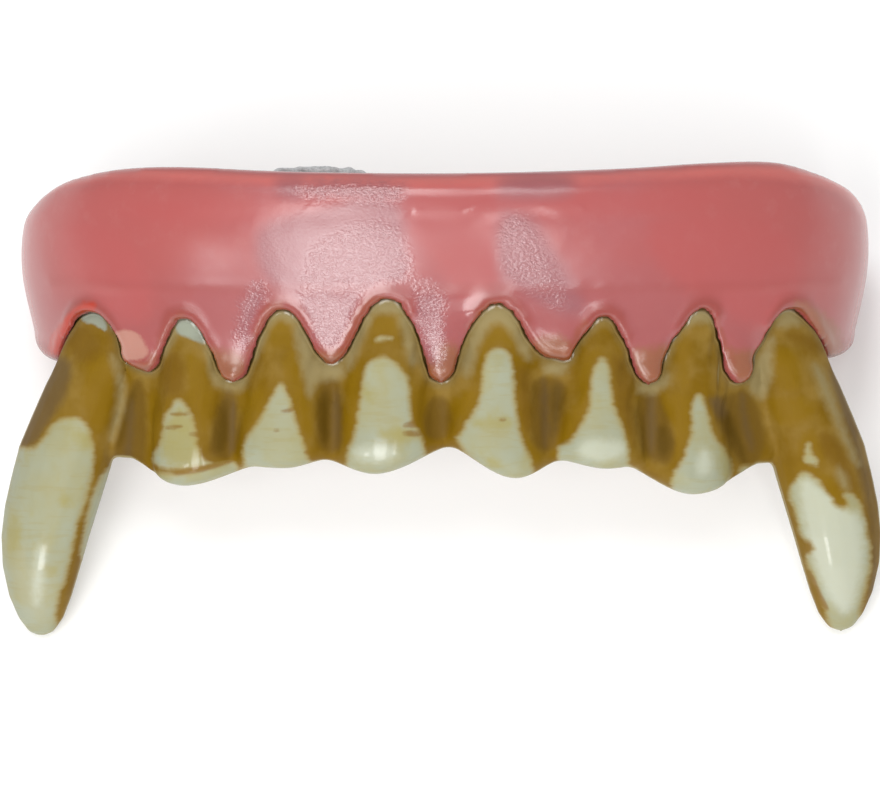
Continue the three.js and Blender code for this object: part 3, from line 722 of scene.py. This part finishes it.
def iron(mesh, weights, upright, rounds):
    """Presses waves out: each point moves along its normal towards its neighbours along the arch, and
    towards those above and below it by the upright share."""
    starts, ends = edges_of(mesh)
    points, normals = points_of(mesh), normals_of(mesh)
    run = points[ends] - points[starts]
    steep = np.abs(run[:, 2]) > np.hypot(run[:, 0], run[:, 1])
    share = np.where(steep, (upright[starts] + upright[ends]) / 2, 1)
    count = len(points)
    pull = np.bincount(starts, share, count) + np.bincount(ends, share, count)
    weights = np.where(pull > 1, weights / 2, 0)
    for _ in range(rounds):
        step = np.zeros(count)
        for axis in range(3):
            line = points[:, axis]
            total = np.bincount(starts, share * line[ends], count)
            total += np.bincount(ends, share * line[starts], count)
            step += normals[:, axis] * (total / np.maximum(pull, 1) - line)
        points += normals * (weights * step)[:, None]
    set_points(mesh, points)


def view_plane(points):
    """Where the photograph's camera sees worn points: across and up from the middle of its image."""
    rays = points - EYE
    depth = rays @ VIEW_ALONG
    return np.stack((rays[:, 0], rays @ VIEW_UP), axis=1) * (VIEW_DISTANCE / depth)[:, None]


def outline_of(pixels, rounds=2):
    """A charted outline in the view plane, with its corners cut until it is smooth."""
    middle = np.array((PHOTO_WIDTH / 2, PHOTO_HEIGHT / 2))
    outline = (np.array(pixels) - middle) * (1, -1) / PHOTO_SCALE
    for _ in range(rounds):
        following = np.roll(outline, -1, axis=0)
        near, far = 0.75 * outline + 0.25 * following, 0.25 * outline + 0.75 * following
        outline = np.stack((near, far), axis=1).reshape(-1, 2)
    return outline


def depth_inside(places, outline):
    """How deep each place is inside a closed outline, less than 0 outside it."""
    nearest = np.full(len(places), np.inf)
    crossings = np.zeros(len(places), dtype=int)
    for start, end in zip(outline, np.roll(outline, -1, axis=0)):
        run = end - start
        if not run.any():
            continue
        share = np.clip((places - start) @ run / (run @ run), 0, 1)
        gap = places - start - share[:, None] * run
        nearest = np.minimum(nearest, np.hypot(gap[:, 0], gap[:, 1]))
        spans = (start[1] > places[:, 1]) != (end[1] > places[:, 1])
        if run[1]:
            crossing = start[0] + (places[:, 1] - start[1]) * run[0] / run[1]
            crossings += spans & (places[:, 0] < crossing)
    return np.where(crossings % 2 == 1, nearest, -nearest)


def charted(places, chart):
    """How deep each place is inside any outline of a chart."""
    depths = np.full(len(places), -CHART_REACH, dtype=float)
    for pixels in chart.values():
        outline = outline_of(pixels)
        low, high = outline.min(axis=0) - CHART_REACH, outline.max(axis=0) + CHART_REACH
        near = np.flatnonzero(np.all((places > low) & (places < high), axis=1))
        depths[near] = np.maximum(depths[near], depth_inside(places[near], outline))
    return depths


def store_charts(mesh, places, charts):
    for name, chart in charts.items():
        store(mesh, name, charted(places, chart))


def distances(points, surface):
    """How far each point is from a surface."""
    return np.array([surface.find_nearest(Vector(point))[3] for point in points])


def covered_by(points, surface):
    """1 for a point that the surface hides from the photograph's camera and 0 for the others."""
    rays = EYE - points
    rays /= np.linalg.norm(rays, axis=1)[:, None]
    hits = [
        surface.ray_cast(Vector(point), Vector(ray), COVER_REACH)[0] is not None
        for point, ray in zip(points, rays)
    ]
    return np.array(hits, dtype=float)


def edge_of(points, normals):
    """The gum's lower edge, as a tree of its points that face down."""
    found = np.flatnonzero((normals[:, 2] < EDGE_FACING) & (points[:, 2] < EDGE_TOP))
    edge = KDTree(len(found))
    for index in found:
        edge.insert(points[index], index)
    edge.balance()
    return edge


def distances_to(points, tree):
    """How far each point is from the nearest point of a tree."""
    return np.array([tree.find(point)[2] for point in points])


def store(mesh, name, values):
    """Keeps a value for each point, where the materials read it by its name."""
    attribute = mesh.attributes.new(name, "FLOAT", "POINT")
    attribute.data.foreach_set("value", np.asarray(values, dtype=np.float32))


def finish_piece(piece, node):
    """Lays a shaped piece down in the CAD node's place and lets it stand for that node."""
    mesh = piece.data
    mesh.transform(WORN_TO_ROW)
    points = points_of(mesh)
    points[:, 2] = np.maximum(points[:, 2], 0)
    set_points(mesh, points)
    mesh.shade_smooth()
    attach(piece, "root")
    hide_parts(node)


def moves_of(points, normals, chart):
    """How far each point goes in a chart of moves, each of which follows the surface at its place."""
    places = view_plane(points)
    front = normals @ VIEW_ALONG < MOVED_FACING
    total = np.zeros_like(points)
    for x, y, right, down, reach in chart.values():
        gap = places * PHOTO_SCALE - (x - PHOTO_WIDTH / 2, PHOTO_HEIGHT / 2 - y)
        near = np.exp(-np.sum(gap * gap, axis=1) / reach ** 2)
        facing = near[front] @ normals[front]
        shift = (right * np.array((1, 0, 0)) - down * VIEW_UP) / PHOTO_SCALE
        shift -= (shift @ facing) / (VIEW_ALONG @ facing) * VIEW_ALONG
        total += near[:, None] * shift
    return total


def soften(mesh, values, rounds):
    """Evens a value out between neighbouring points."""
    starts, ends = edges_of(mesh)
    count = len(values)
    neighbours = np.bincount(starts, minlength=count) + np.bincount(ends, minlength=count)
    for _ in range(rounds):
        total = np.bincount(starts, values[ends], count) + np.bincount(ends, values[starts], count)
        values = (values + total / neighbours) / 2
    return values


def lumps(points, size, depth):
    """A soft unevenness of the cast plastic: a few crossing waves about as long as the size."""
    waves = {0.3: (1.0, 0.4, 0.7), 1.9: (-0.6, 0.9, 1.1), 4.1: (0.5, -1.2, 0.4), 2.6: (1.3, 0.2, -0.9)}
    turns = 2 * math.pi / size
    total = sum(np.sin(points @ np.array(way) * turns + phase) for phase, way in waves.items())
    return depth * total / len(waves)


def shape_gum(settings):
    piece = even_copy("gum_shell", "gum", settings.cell / MM)
    mesh = piece.data
    relax(mesh, settings.smoothing)
    points, normals = points_of(mesh), normals_of(mesh)
    outward = points[:, :2] - MOUTH_MIDDLE
    outward /= np.linalg.norm(outward, axis=1)[:, None]
    outer = smoothstep(np.sum(normals[:, :2] * outward, axis=1), *OUTER_FACING)
    margin = soften(mesh, distances_to(points, edge_of(points, normals)), SOFTER_ROUNDS)
    even = outer * smoothstep(margin, *IRONED_MARGIN)
    up_the_view = view_plane(points)[:, 1]
    upright = 1 - RIM_KEPT * smoothstep(up_the_view, RIM_START, RIM_START + RIM_FADE)
    iron(mesh, soften(mesh, even, SOFT_ROUNDS), upright, settings.ironing)
    iron(mesh, 1 - smoothstep(margin, *EDGE_MARGIN), np.ones(len(points)), EDGE_ROUNDS)
    set_points(mesh, points_of(mesh) + moves_of(points_of(mesh), normals_of(mesh), GUM_MOVES))
    points, normals = points_of(mesh), normals_of(mesh)
    roll = settings.margin_roll / MM * (1 - smoothstep(margin, *ROLL_MARGIN))
    roll *= 1 - smoothstep(points[:, 1], *ROLL_BACK)
    points += normals * (lumps(points, *GUM_LUMPS) * outer + roll)[:, None]
    set_points(mesh, points)
    relax(mesh, LAST_ROUNDS)
    store(mesh, "outer", outer)
    store(mesh, "margin", margin)
    store_charts(mesh, view_plane(points), GUM_CHARTS)
    return piece


def shape_teeth(settings):
    gum = bpy.data.objects.get("gum")
    if gum is None:
        raise RuntimeError("The gum is made before the teeth")
    cover = bmesh.new()
    cover.from_mesh(gum.data)
    bmesh.ops.transform(cover, matrix=ROW_TO_WORN, verts=cover.verts)
    cover.normal_update()
    gum_surface = BVHTree.FromBMesh(cover)
    gum_edge = edge_of(
        np.array([vertex.co for vertex in cover.verts]),
        np.array([vertex.normal for vertex in cover.verts]),
    )
    cover.free()

    piece = even_copy("tooth_row", "teeth", settings.cell / MM)
    mesh = piece.data
    relax(mesh, settings.smoothing)
    points, normals = points_of(mesh), normals_of(mesh)
    places = view_plane(points)
    front = smoothstep(-(normals @ VIEW_ALONG), *FRONT_FACING)
    hidden = soften(mesh, covered_by(points, gum_surface), SOFT_ROUNDS)
    edge = distances_to(points, gum_edge)
    shown, covered = 1 - smoothstep(edge, *COLLAR_SHOWN), 1 - smoothstep(edge, *COLLAR_HIDDEN)
    collar = soften(mesh, shown + (covered - shown) * hidden, SOFT_ROUNDS)
    recess = smoothstep(charted(places, DARK_WEBS), *WEB_SIDE) * (1 - collar)
    swell = smoothstep(charted(places, POLISHED), *SWELL_SIDE)
    push = settings.collar / MM * collar - settings.web_depth / MM * recess
    push += settings.edge_swell / MM * swell
    push = soften(mesh, (push + lumps(points, *TOOTH_LUMPS)) * front, SOFTER_ROUNDS)
    points += normals * push[:, None]
    set_points(mesh, points)
    relax(mesh, LAST_ROUNDS)
    points = points_of(mesh)
    store(mesh, "front", front)
    seam = distances(points, gum_surface) * (1 - 2 * covered_by(points, gum_surface))
    store(mesh, "seam", soften(mesh, seam, SEAM_ROUNDS))
    store_charts(mesh, view_plane(points), TOOTH_CHARTS)
    return piece


def shape_putty(settings):
    piece = even_copy("fitting_putty", "putty", settings.cell / MM)
    mesh = piece.data
    relax(mesh, settings.smoothing)
    points, normals = points_of(mesh), normals_of(mesh)
    uneven = lumps(points, *PUTTY_LUMPS) + lumps(points[:, ::-1], *PUTTY_GRAINS)
    points += normals * uneven[:, None]
    set_points(mesh, points)
    return piece


# Materials

class Wire:
    """An output socket in an expression: each operator on it adds one Math node."""

    def __init__(self, paint, socket):
        self.paint = paint
        self.socket = socket

    def math(self, operation, first, second):
        return self.paint.node("ShaderNodeMath", {"operation": operation}, {0: first, 1: second})

    def __add__(self, other):
        return self.math("ADD", self, other)

    def __sub__(self, other):
        return self.math("SUBTRACT", self, other)

    def __mul__(self, other):
        return self.math("MULTIPLY", self, other)

    def __truediv__(self, other):
        return self.math("DIVIDE", self, other)

    def __radd__(self, other):
        return self.math("ADD", other, self)

    def __rsub__(self, other):
        return self.math("SUBTRACT", other, self)

    def __rmul__(self, other):
        return self.math("MULTIPLY", other, self)

    def __rtruediv__(self, other):
        return self.math("DIVIDE", other, self)

    def most(self, other):
        return self.math("MAXIMUM", self, other)

    def least(self, other):
        return self.math("MINIMUM", self, other)

    def rise(self, low, high):
        """0 below low, 1 above high and a smooth rise between them."""
        settings = {"interpolation_type": "SMOOTHSTEP"}
        sockets = {"Value": self, "From Min": low, "From Max": high}
        return self.paint.node("ShaderNodeMapRange", settings, sockets)


class Paint:
    """One material's nodes."""

    def __init__(self, name):
        self.material = bpy.data.materials.new(name)
        self.material.use_nodes = True
        self.nodes = self.material.node_tree.nodes
        self.links = self.material.node_tree.links
        self.nodes.clear()

    def node(self, kind, settings, sockets, output=0):
        """A node of a kind with its settings, then the values or wires of its sockets."""
        node = self.nodes.new(kind)
        for name, value in settings.items():
            setattr(node, name, value)
        for name, value in sockets.items():
            if isinstance(value, Wire):
                self.links.new(value.socket, node.inputs[name])
            else:
                node.inputs[name].default_value = value
        return Wire(self, node.outputs[output]) if len(node.outputs) else None

    def attribute(self, name):
        return self.node("ShaderNodeAttribute", {"attribute_name": name}, {}, "Fac")

    def worn(self, stretch=(1, 1, 1)):
        """Object coordinates turned into the worn frame's millimetres, and stretched for a pattern."""
        place = self.node("ShaderNodeTexCoord", {}, {}, "Object")
        moved = self.node("ShaderNodeMapping", {}, {
            "Vector": place,
            "Location": ROW_TO_WORN.translation,
            "Rotation": ROW_TO_WORN.to_euler(),
            "Scale": (1 / MM, 1 / MM, 1 / MM),
        })
        return self.node("ShaderNodeMapping", {}, {"Vector": moved, "Scale": stretch})

    def across(self):
        """How far a point is to the right of the mouth's middle, in millimetres."""
        return self.node("ShaderNodeSeparateXYZ", {}, {"Vector": self.worn()}, "X")

    def height(self):
        """How far a point is above the tips of the gum, in millimetres."""
        return self.node("ShaderNodeSeparateXYZ", {}, {"Vector": self.worn()}, "Z")

    def noise(self, place, scale, detail, roughness):
        sockets = {"Vector": place, "Scale": scale, "Detail": detail, "Roughness": roughness}
        return self.node("ShaderNodeTexNoise", {}, sockets, "Fac")

    def mix(self, factor, under, over):
        """A colour laid over another one by a factor."""
        def coloured(value):
            return value if isinstance(value, Wire) else (*value[:3], 1)

        sockets = {"Factor": factor, 6: coloured(under), 7: coloured(over)}
        return self.node("ShaderNodeMix", {"data_type": "RGBA"}, sockets, 2)

    def bump(self, height, depth):
        sockets = {"Height": height, "Distance": depth, "Strength": 1}
        return self.node("ShaderNodeBump", {}, sockets)

    def finish(self, sockets):
        shader = self.node("ShaderNodeBsdfPrincipled", {}, sockets)
        self.node("ShaderNodeOutputMaterial", {}, {"Surface": shader})
        return self.material


def gum_material(settings):
    paint = Paint("gum_acrylic")
    place = paint.worn()
    outer = paint.attribute("outer")
    margin = paint.attribute("margin")
    cloud = paint.noise(place, scale=0.16, detail=3, roughness=0.55)
    fine = paint.noise(place, scale=1.6, detail=3, roughness=0.6)
    mottle = paint.noise(place, scale=0.7, detail=4, roughness=0.6)
    height = paint.height()
    across = paint.across()
    # painted shade: away from the middle the sides are mixed towards the deep pink; the cloud is the
    # plastic's own uneven tone
    middle = 1 - (across * across / MIDDLE_SPREAD).rise(0.25, 1)
    low = 1 - height.rise(3, 13)
    pinkness = (0.55 * middle + 0.5 * low + 1.2 * (cloud - 0.5)).rise(0.1, 0.9)
    colour = paint.mix(pinkness, settings.deep, settings.pale)
    colour = paint.mix(0.2 * mottle.rise(0.5, 0.75), colour, MOTTLED_PINK)

    def spot(name, under, setting=None):
        start, full, strength, ragged, colour = GUM_PAINT[name]
        value = (paint.attribute(name) + ragged * (fine - 0.5)).rise(start, full)
        return paint.mix(strength * value * outer, under, colour or setting)

    colour = paint.mix(0.5 * low, colour, SHADED_PINK)
    # painted shade: a darker red in the groove under the rim, in the middle and at the sides
    colour = spot("redder", colour)
    # painted light: the top band is painted a brighter red to make up for its shade
    colour = spot("rim", colour)
    rolled = (1 - margin.rise(0.4, 1.1)) * outer
    # painted shade: the rolled edge along the teeth is painted a darker red
    colour = paint.mix(0.85 * rolled, colour, ROLL_SHADE_PINK)
    colour = spot("stain", colour, settings.stain)
    # painted shade: red-brown on the left side of the arches
    colour = spot("edge", colour)
    colour = spot("peach", colour)
    colour = spot("red", colour)
    # painted shade: the gum's very edge is painted brown
    lip_shade = (1 - margin.rise(0.0, 0.25)) * outer
    colour = paint.mix(0.6 * lip_shade, colour, LIP_SHADE_BROWN)

    wrinkled = (paint.attribute("wrinkled") + 1.4 * (fine - 0.5)).rise(-0.8, 0.7) * outer
    away = margin.rise(0.5, 1.1)
    matt = paint.attribute("matt").rise(-0.9, 0.6)
    # painted highlight tint: a less red pink laid under the gum's highlights
    highlight_tint = matt.most(wrinkled)
    colour = paint.mix(0.7 * highlight_tint * away, colour, HIGHLIGHT_TINT_PINK)
    side = (across * across / SIDE_SPREAD).rise(0.3, 0.9)
    sparkle = paint.noise(paint.worn((0.75, 0.75, 1.15)), scale=5, detail=2, roughness=0.5)
    relief = (sparkle - 0.5) * (0.02 + 0.1 * matt + wrinkled * away)
    dull = side.most(rolled) * (1 - wrinkled * away)
    return paint.finish({
        "Base Color": colour,
        "Roughness": 0.18 + 0.08 * dull.most(matt * (1 - wrinkled)) - 0.07 * wrinkled,
        "Normal": paint.bump(relief, settings.ripple),
        "Specular IOR Level": 0.7,
        "Coat Weight": 0.55 * wrinkled * away + 0.2 * matt,
        "Coat Roughness": 0.25,
        "Subsurface Weight": 0.12,
        "Subsurface Radius": (1.0, 0.35, 0.25),
        "Subsurface Scale": 1.0 * MM,
    })


def tooth_material(settings):
    paint = Paint("tooth_acrylic")
    place = paint.worn()
    front = paint.attribute("front")
    cloud = paint.noise(place, scale=0.35, detail=3, roughness=0.5)
    blotch = paint.noise(paint.worn((1, 1, 0.7)), scale=0.55, detail=3, roughness=0.55)
    streak = paint.noise(paint.worn((0.13, 0.13, 1)), scale=2.6, detail=2, roughness=0.5)
    grain = paint.noise(place, scale=1.6, detail=3, roughness=0.55)

    def spot(name, under, setting=None):
        start, full, strength, ragged, colour = TOOTH_PAINT[name]
        value = (paint.attribute(name) + ragged * (grain - 0.5)).rise(start, full)
        return paint.mix(strength * value, under, colour or setting)

    ivory = paint.mix(cloud.rise(0.3, 0.7), settings.ivory, COOL_IVORY)
    ivory = paint.mix(0.4 * blotch.rise(0.5, 0.7), ivory, YELLOWED_IVORY)
    ivory = paint.mix(0.3 * streak.rise(0.52, 0.66), ivory, STREAKED_IVORY)
    # whiter ivory, with painted highlights on the left fang and the third tooth
    ivory = spot("white", ivory)
    ivory = spot("yellow", ivory)
    clean = paint.attribute("clean") + 0.4 * (streak - 0.5) + 0.25 * (grain - 0.5)
    ivory = paint.mix(0.65 * (1 - clean.rise(0.0, 0.45)), ivory, BRUSHED_IVORY)
    ivory = spot("mark", ivory)

    coat = paint.mix(cloud.rise(0.35, 0.65), settings.tan, DARKER_TAN)
    rim = clean.rise(-1.1, -0.15)
    coat = paint.mix(0.5 * rim, coat, settings.ochre)
    coat = spot("golden", coat, settings.golden)
    coat = spot("brown", coat)
    # stain and painted shade in the sunken webs
    coat = spot("web", coat, settings.web)
    coat = spot("deep", coat)
    # grey-brown paint, and a painted reflection down the webs
    coat = spot("grey", coat, settings.grey)
    coat = spot("pale", coat)

    seam = paint.attribute("seam")
    band = 1 - (seam + 0.35 * (grain - 0.5)).rise(0.2, 0.8)
    coat = paint.mix(0.35 * band, coat, SEAM_TAN)
    coat = spot("bare", coat)
    painted = (1 - clean.rise(-0.2, 0.2)) * front.rise(0.15, 0.75)
    colour = paint.mix(painted, ivory, coat)
    shadow = (1 - seam.rise(0.06, 0.3)) * front
    colour = paint.mix(0.35 * shadow, colour, SEAM_SHADOW)
    stronger = paint.across().rise(LINE_START, LINE_FULL)
    line = (1 - seam.rise(0.05, 0.16)) * front * (0.25 + 0.5 * stronger)
    colour = paint.mix(line, colour, SEAM_LINE)

    polished = paint.attribute("polished").rise(-1.0, 0.6)
    bead = seam.rise(0.05, 0.18) * (1 - seam.rise(0.18, 0.32))
    relief = 0.3 * paint.noise(place, scale=1.1, detail=3, roughness=0.5) + 0.08 * streak + 1.2 * bead
    return paint.finish({
        "Base Color": colour,
        "Roughness": 0.42 + 0.06 * grain + 0.12 * painted - 0.08 * polished - 0.1 * bead,
        "Normal": paint.bump(relief, TOOTH_RIPPLE),
        "Specular IOR Level": 0.1,
        "Coat Weight": (0.9 * polished + bead).least(1),
        "Coat Roughness": 0.14,
        "Subsurface Weight": 0.12,
        "Subsurface Radius": (1.0, 0.8, 0.5),
        "Subsurface Scale": 0.8 * MM,
    })


def putty_material():
    paint = Paint("putty")
    place = paint.worn()
    grain = paint.noise(place, scale=4.0, detail=5, roughness=0.7)
    cloud = paint.noise(place, scale=0.9, detail=3, roughness=0.6)
    colour = paint.mix(grain.rise(0.35, 0.65), PUTTY_DARK, PUTTY_PALE)
    colour = paint.mix(0.4 * cloud.rise(0.5, 0.7), colour, PUTTY_WARM)
    bump = paint.bump(grain, PUTTY_RIPPLE)
    return paint.finish({"Base Color": colour, "Roughness": 0.55 + 0.2 * grain, "Normal": bump})


def floor_material(settings):
    paint = Paint("table")
    grain = paint.noise(paint.worn(), scale=0.05, detail=2, roughness=0.5)
    colour = paint.mix(grain, settings.floor, TABLE_PALE)
    return paint.finish({"Base Color": colour, "Roughness": 0.7, "Specular IOR Level": 0.2})


# Add-on

class GumSettings(bpy.types.PropertyGroup):
    cell: bpy.props.FloatProperty(
        name="Cell", description="Size of the gum's faces", default=0.27 * MM, unit="LENGTH")
    smoothing: bpy.props.IntProperty(
        name="Smoothing", description="Rounds that take the facets away", default=14)
    ironing: bpy.props.IntProperty(
        name="Ironing", description="Rounds that even out the gum's front", default=150)
    margin_roll: bpy.props.FloatProperty(
        name="Margin roll", description="How thick the roll along the gum's edge is",
        default=0.18 * MM, unit="LENGTH")
    ripple: bpy.props.FloatProperty(
        name="Ripple", description="Depth of the fine ripple of the surface",
        default=0.085 * MM, unit="LENGTH")
    # The deep pink is also the painted shade of the gum's sides.
    deep: bpy.props.FloatVectorProperty(
        name="Deep pink", description="Gum colour at the sides and the rim",
        default=seen(196, 98, 95), subtype="COLOR", size=3)
    pale: bpy.props.FloatVectorProperty(
        name="Pale pink", description="Gum colour in the middle and near the teeth",
        default=seen(193, 107, 109), subtype="COLOR", size=3)
    stain: bpy.props.FloatVectorProperty(
        name="Stain", description="Brown paint that runs over the gum's edge",
        default=seen(164, 102, 70), subtype="COLOR", size=3)


class TeethSettings(bpy.types.PropertyGroup):
    cell: bpy.props.FloatProperty(
        name="Cell", description="Size of the teeth's faces", default=0.22 * MM, unit="LENGTH")
    smoothing: bpy.props.IntProperty(
        name="Smoothing", description="Rounds that take the facets away", default=16)
    collar: bpy.props.FloatProperty(
        name="Collar", description="How far the necks come out to the gum's edge",
        default=0.4 * MM, unit="LENGTH")
    web_depth: bpy.props.FloatProperty(
        name="Web depth", description="How far the webs sink between the teeth",
        default=0.2 * MM, unit="LENGTH")
    edge_swell: bpy.props.FloatProperty(
        name="Edge swell", description="How far the polished lower edges stand out",
        default=0.1 * MM, unit="LENGTH")
    ivory: bpy.props.FloatVectorProperty(
        name="Ivory", description="Clean plastic of the teeth",
        default=seen(180, 177, 140), subtype="COLOR", size=3)
    tan: bpy.props.FloatVectorProperty(
        name="Tan", description="Thin brown paint",
        default=seen(158, 128, 66), subtype="COLOR", size=3)
    ochre: bpy.props.FloatVectorProperty(
        name="Ochre", description="Brown paint beside the clean patches",
        default=seen(142, 110, 30), subtype="COLOR", size=3)
    golden: bpy.props.FloatVectorProperty(
        name="Golden", description="Paint where it pooled",
        default=seen(148, 115, 18), subtype="COLOR", size=3)
    # Also the colour of the painted reflection in the webs.
    grey: bpy.props.FloatVectorProperty(
        name="Grey", description="Grey-brown paint",
        default=seen(120, 98, 66), subtype="COLOR", size=3)
    # Stain and painted shade in the webs.
    web: bpy.props.FloatVectorProperty(
        name="Web", description="Dark paint in the webs",
        default=seen(128, 100, 50), subtype="COLOR", size=3)


class PuttySettings(bpy.types.PropertyGroup):
    cell: bpy.props.FloatProperty(
        name="Cell", description="Size of the putty's faces", default=0.12 * MM, unit="LENGTH")
    smoothing: bpy.props.IntProperty(
        name="Smoothing", description="Rounds that take the facets away", default=8)


class StageSettings(bpy.types.PropertyGroup):
    floor: bpy.props.FloatVectorProperty(
        name="Floor", description="Colour of the table", default=(0.95, 0.95, 0.95),
        subtype="COLOR", size=3)
    floor_size: bpy.props.FloatProperty(
        name="Floor size", description="Width of the table", default=3, unit="LENGTH")
    daylight: bpy.props.FloatProperty(
        name="Daylight", description="Strength of the even light all round", default=0.74)
    softbox: bpy.props.FloatProperty(
        name="Softbox", description="Brightness of the softboxes, where paper in daylight is 1",
        default=7.2)


# The softboxes round the photograph's target, in degrees: their turn to the right of the front of the
# teeth, their rise, how wide and high they look from there, and how far their tops lean to the left.
SOFTBOXES = {
    "left_box": {"turn": -12.5, "rise": -14.5, "wide": 18, "high": 43, "lean": 0},
    "left_top_box": {"turn": -9.5, "rise": 27, "wide": 15, "high": 18, "lean": 0},
    "right_box": {"turn": 9.5, "rise": -9.5, "wide": 5.5, "high": 27, "lean": 12},
    "right_top_box": {"turn": 8.5, "rise": 24, "wide": 8, "high": 9, "lean": 0},
    "side_box": {"turn": -36, "rise": -13, "wide": 8, "high": 8, "lean": 0},
    "low_box": {"turn": -16, "rise": -51, "wide": 14, "high": 10, "lean": 0},
}
SOFTBOX_DISTANCE = 0.6  # metres
CLIP_START = 0.01  # metres


def box_place(turn, rise):
    """Where a softbox stands, in row metres."""
    turn, rise = math.radians(turn), math.radians(rise)
    level = math.cos(rise)
    away = np.array((math.sin(turn) * level, -math.cos(turn) * level, math.sin(rise)))
    return WORN_TO_ROW @ Vector(VIEW_TARGET + SOFTBOX_DISTANCE / MM * away)


def aimed(kind, name, place, target, up):
    """A new light or camera at a place, turned to a target with its top towards up."""
    item = bpy.data.objects.new(name, kind)
    bpy.context.scene.collection.objects.link(item)
    back = (place - target).normalized()
    side = up.cross(back).normalized()
    turn = Matrix((side, back.cross(side), back)).transposed().to_4x4()
    item.matrix_world = Matrix.Translation(place) @ turn
    return item


class DENTURE_OT_gum(bpy.types.Operator):
    """Shape and finish the pink gum"""

    bl_idname = "denture.gum"
    bl_label = "Gum"

    def execute(self, context):
        settings = context.scene.denture_gum
        piece = shape_gum(settings)
        piece.data.materials.append(gum_material(settings))
        finish_piece(piece, "gum_shell")
        return {"FINISHED"}


class DENTURE_OT_teeth(bpy.types.Operator):
    """Shape and paint the row of teeth with its two fangs"""

    bl_idname = "denture.teeth"
    bl_label = "Teeth"

    def execute(self, context):
        settings = context.scene.denture_teeth
        piece = shape_teeth(settings)
        piece.data.materials.append(tooth_material(settings))
        finish_piece(piece, "tooth_row")
        return {"FINISHED"}


class DENTURE_OT_putty(bpy.types.Operator):
    """Shape and finish the pad of fitting putty"""

    bl_idname = "denture.putty"
    bl_label = "Putty"

    def execute(self, context):
        settings = context.scene.denture_putty
        piece = shape_putty(settings)
        piece.data.materials.append(putty_material())
        finish_piece(piece, "fitting_putty")
        return {"FINISHED"}


class DENTURE_OT_stage(bpy.types.Operator):
    """Set the pale table, the soft lights and the camera"""

    bl_idname = "denture.stage"
    bl_label = "Stage"

    def execute(self, context):
        settings = context.scene.denture_stage
        scene = context.scene
        scene.view_settings.view_transform = "Standard"

        floor_shape = bmesh.new()
        bmesh.ops.create_grid(floor_shape, x_segments=1, y_segments=1, size=settings.floor_size / 2)
        floor_mesh = bpy.data.meshes.new("table")
        floor_shape.to_mesh(floor_mesh)
        floor_shape.free()
        floor = bpy.data.objects.new("table", floor_mesh)
        scene.collection.objects.link(floor)
        floor_mesh.materials.append(floor_material(settings))

        world = bpy.data.worlds.new("daylight")
        world.use_nodes = True
        background = world.node_tree.nodes["Background"]
        background.inputs["Color"].default_value = (1, 1, 1, 1)
        background.inputs["Strength"].default_value = settings.daylight
        scene.world = world

        target = WORN_TO_ROW @ Vector(VIEW_TARGET)
        up = (WORN_TO_ROW.to_3x3() @ Vector(VIEW_UP)).normalized()
        for name, box in SOFTBOXES.items():
            light = bpy.data.lights.new(name, "AREA")
            light.shape = "RECTANGLE"
            light.size = 2 * SOFTBOX_DISTANCE * math.tan(math.radians(box["wide"] / 2))
            light.size_y = 2 * SOFTBOX_DISTANCE * math.tan(math.radians(box["high"] / 2))
            light.energy = settings.softbox * math.pi * light.size * light.size_y
            lamp = aimed(light, name, box_place(box["turn"], box["rise"]), target, up)
            lamp.matrix_world @= Matrix.Rotation(math.radians(box["lean"]), 4, "Z")

        camera = bpy.data.cameras.new("camera")
        camera.lens = VIEW_LENS
        camera.sensor_width = VIEW_SENSOR
        camera.clip_start = CLIP_START
        scene.camera = aimed(camera, "camera", WORN_TO_ROW @ Vector(EYE), target, up)
        return {"FINISHED"}


class DENTURE_PT_panel(bpy.types.Panel):
    """The denture's pieces and stage"""

    bl_idname = "DENTURE_PT_panel"
    bl_label = "Denture"
    bl_space_type = "VIEW_3D"
    bl_region_type = "UI"
    bl_category = "Denture"

    def draw(self, context):
        for operator, group in (
            (DENTURE_OT_gum, context.scene.denture_gum),
            (DENTURE_OT_teeth, context.scene.denture_teeth),
            (DENTURE_OT_putty, context.scene.denture_putty),
            (DENTURE_OT_stage, context.scene.denture_stage),
        ):
            box = self.layout.box()
            box.operator(operator.bl_idname)
            for name in group.__annotations__:
                box.prop(group, name)


GROUPS = {
    "denture_gum": GumSettings,
    "denture_teeth": TeethSettings,
    "denture_putty": PuttySettings,
    "denture_stage": StageSettings,
}
OPERATORS = (DENTURE_OT_gum, DENTURE_OT_teeth, DENTURE_OT_putty, DENTURE_OT_stage)


def register():
    for name, group in GROUPS.items():
        bpy.utils.register_class(group)
        setattr(bpy.types.Scene, name, bpy.props.PointerProperty(type=group))
    for entry in (*OPERATORS, DENTURE_PT_panel):
        bpy.utils.register_class(entry)


def unregister():
    for entry in (DENTURE_PT_panel, *reversed(OPERATORS)):
        bpy.utils.unregister_class(entry)
    for name, group in GROUPS.items():
        delattr(bpy.types.Scene, name)
        bpy.utils.unregister_class(group)


def main():
    register()
    bpy.ops.denture.gum()
    bpy.ops.denture.teeth()
    bpy.ops.denture.putty()
    bpy.ops.denture.stage()


if __name__ == "__main__":
    main()
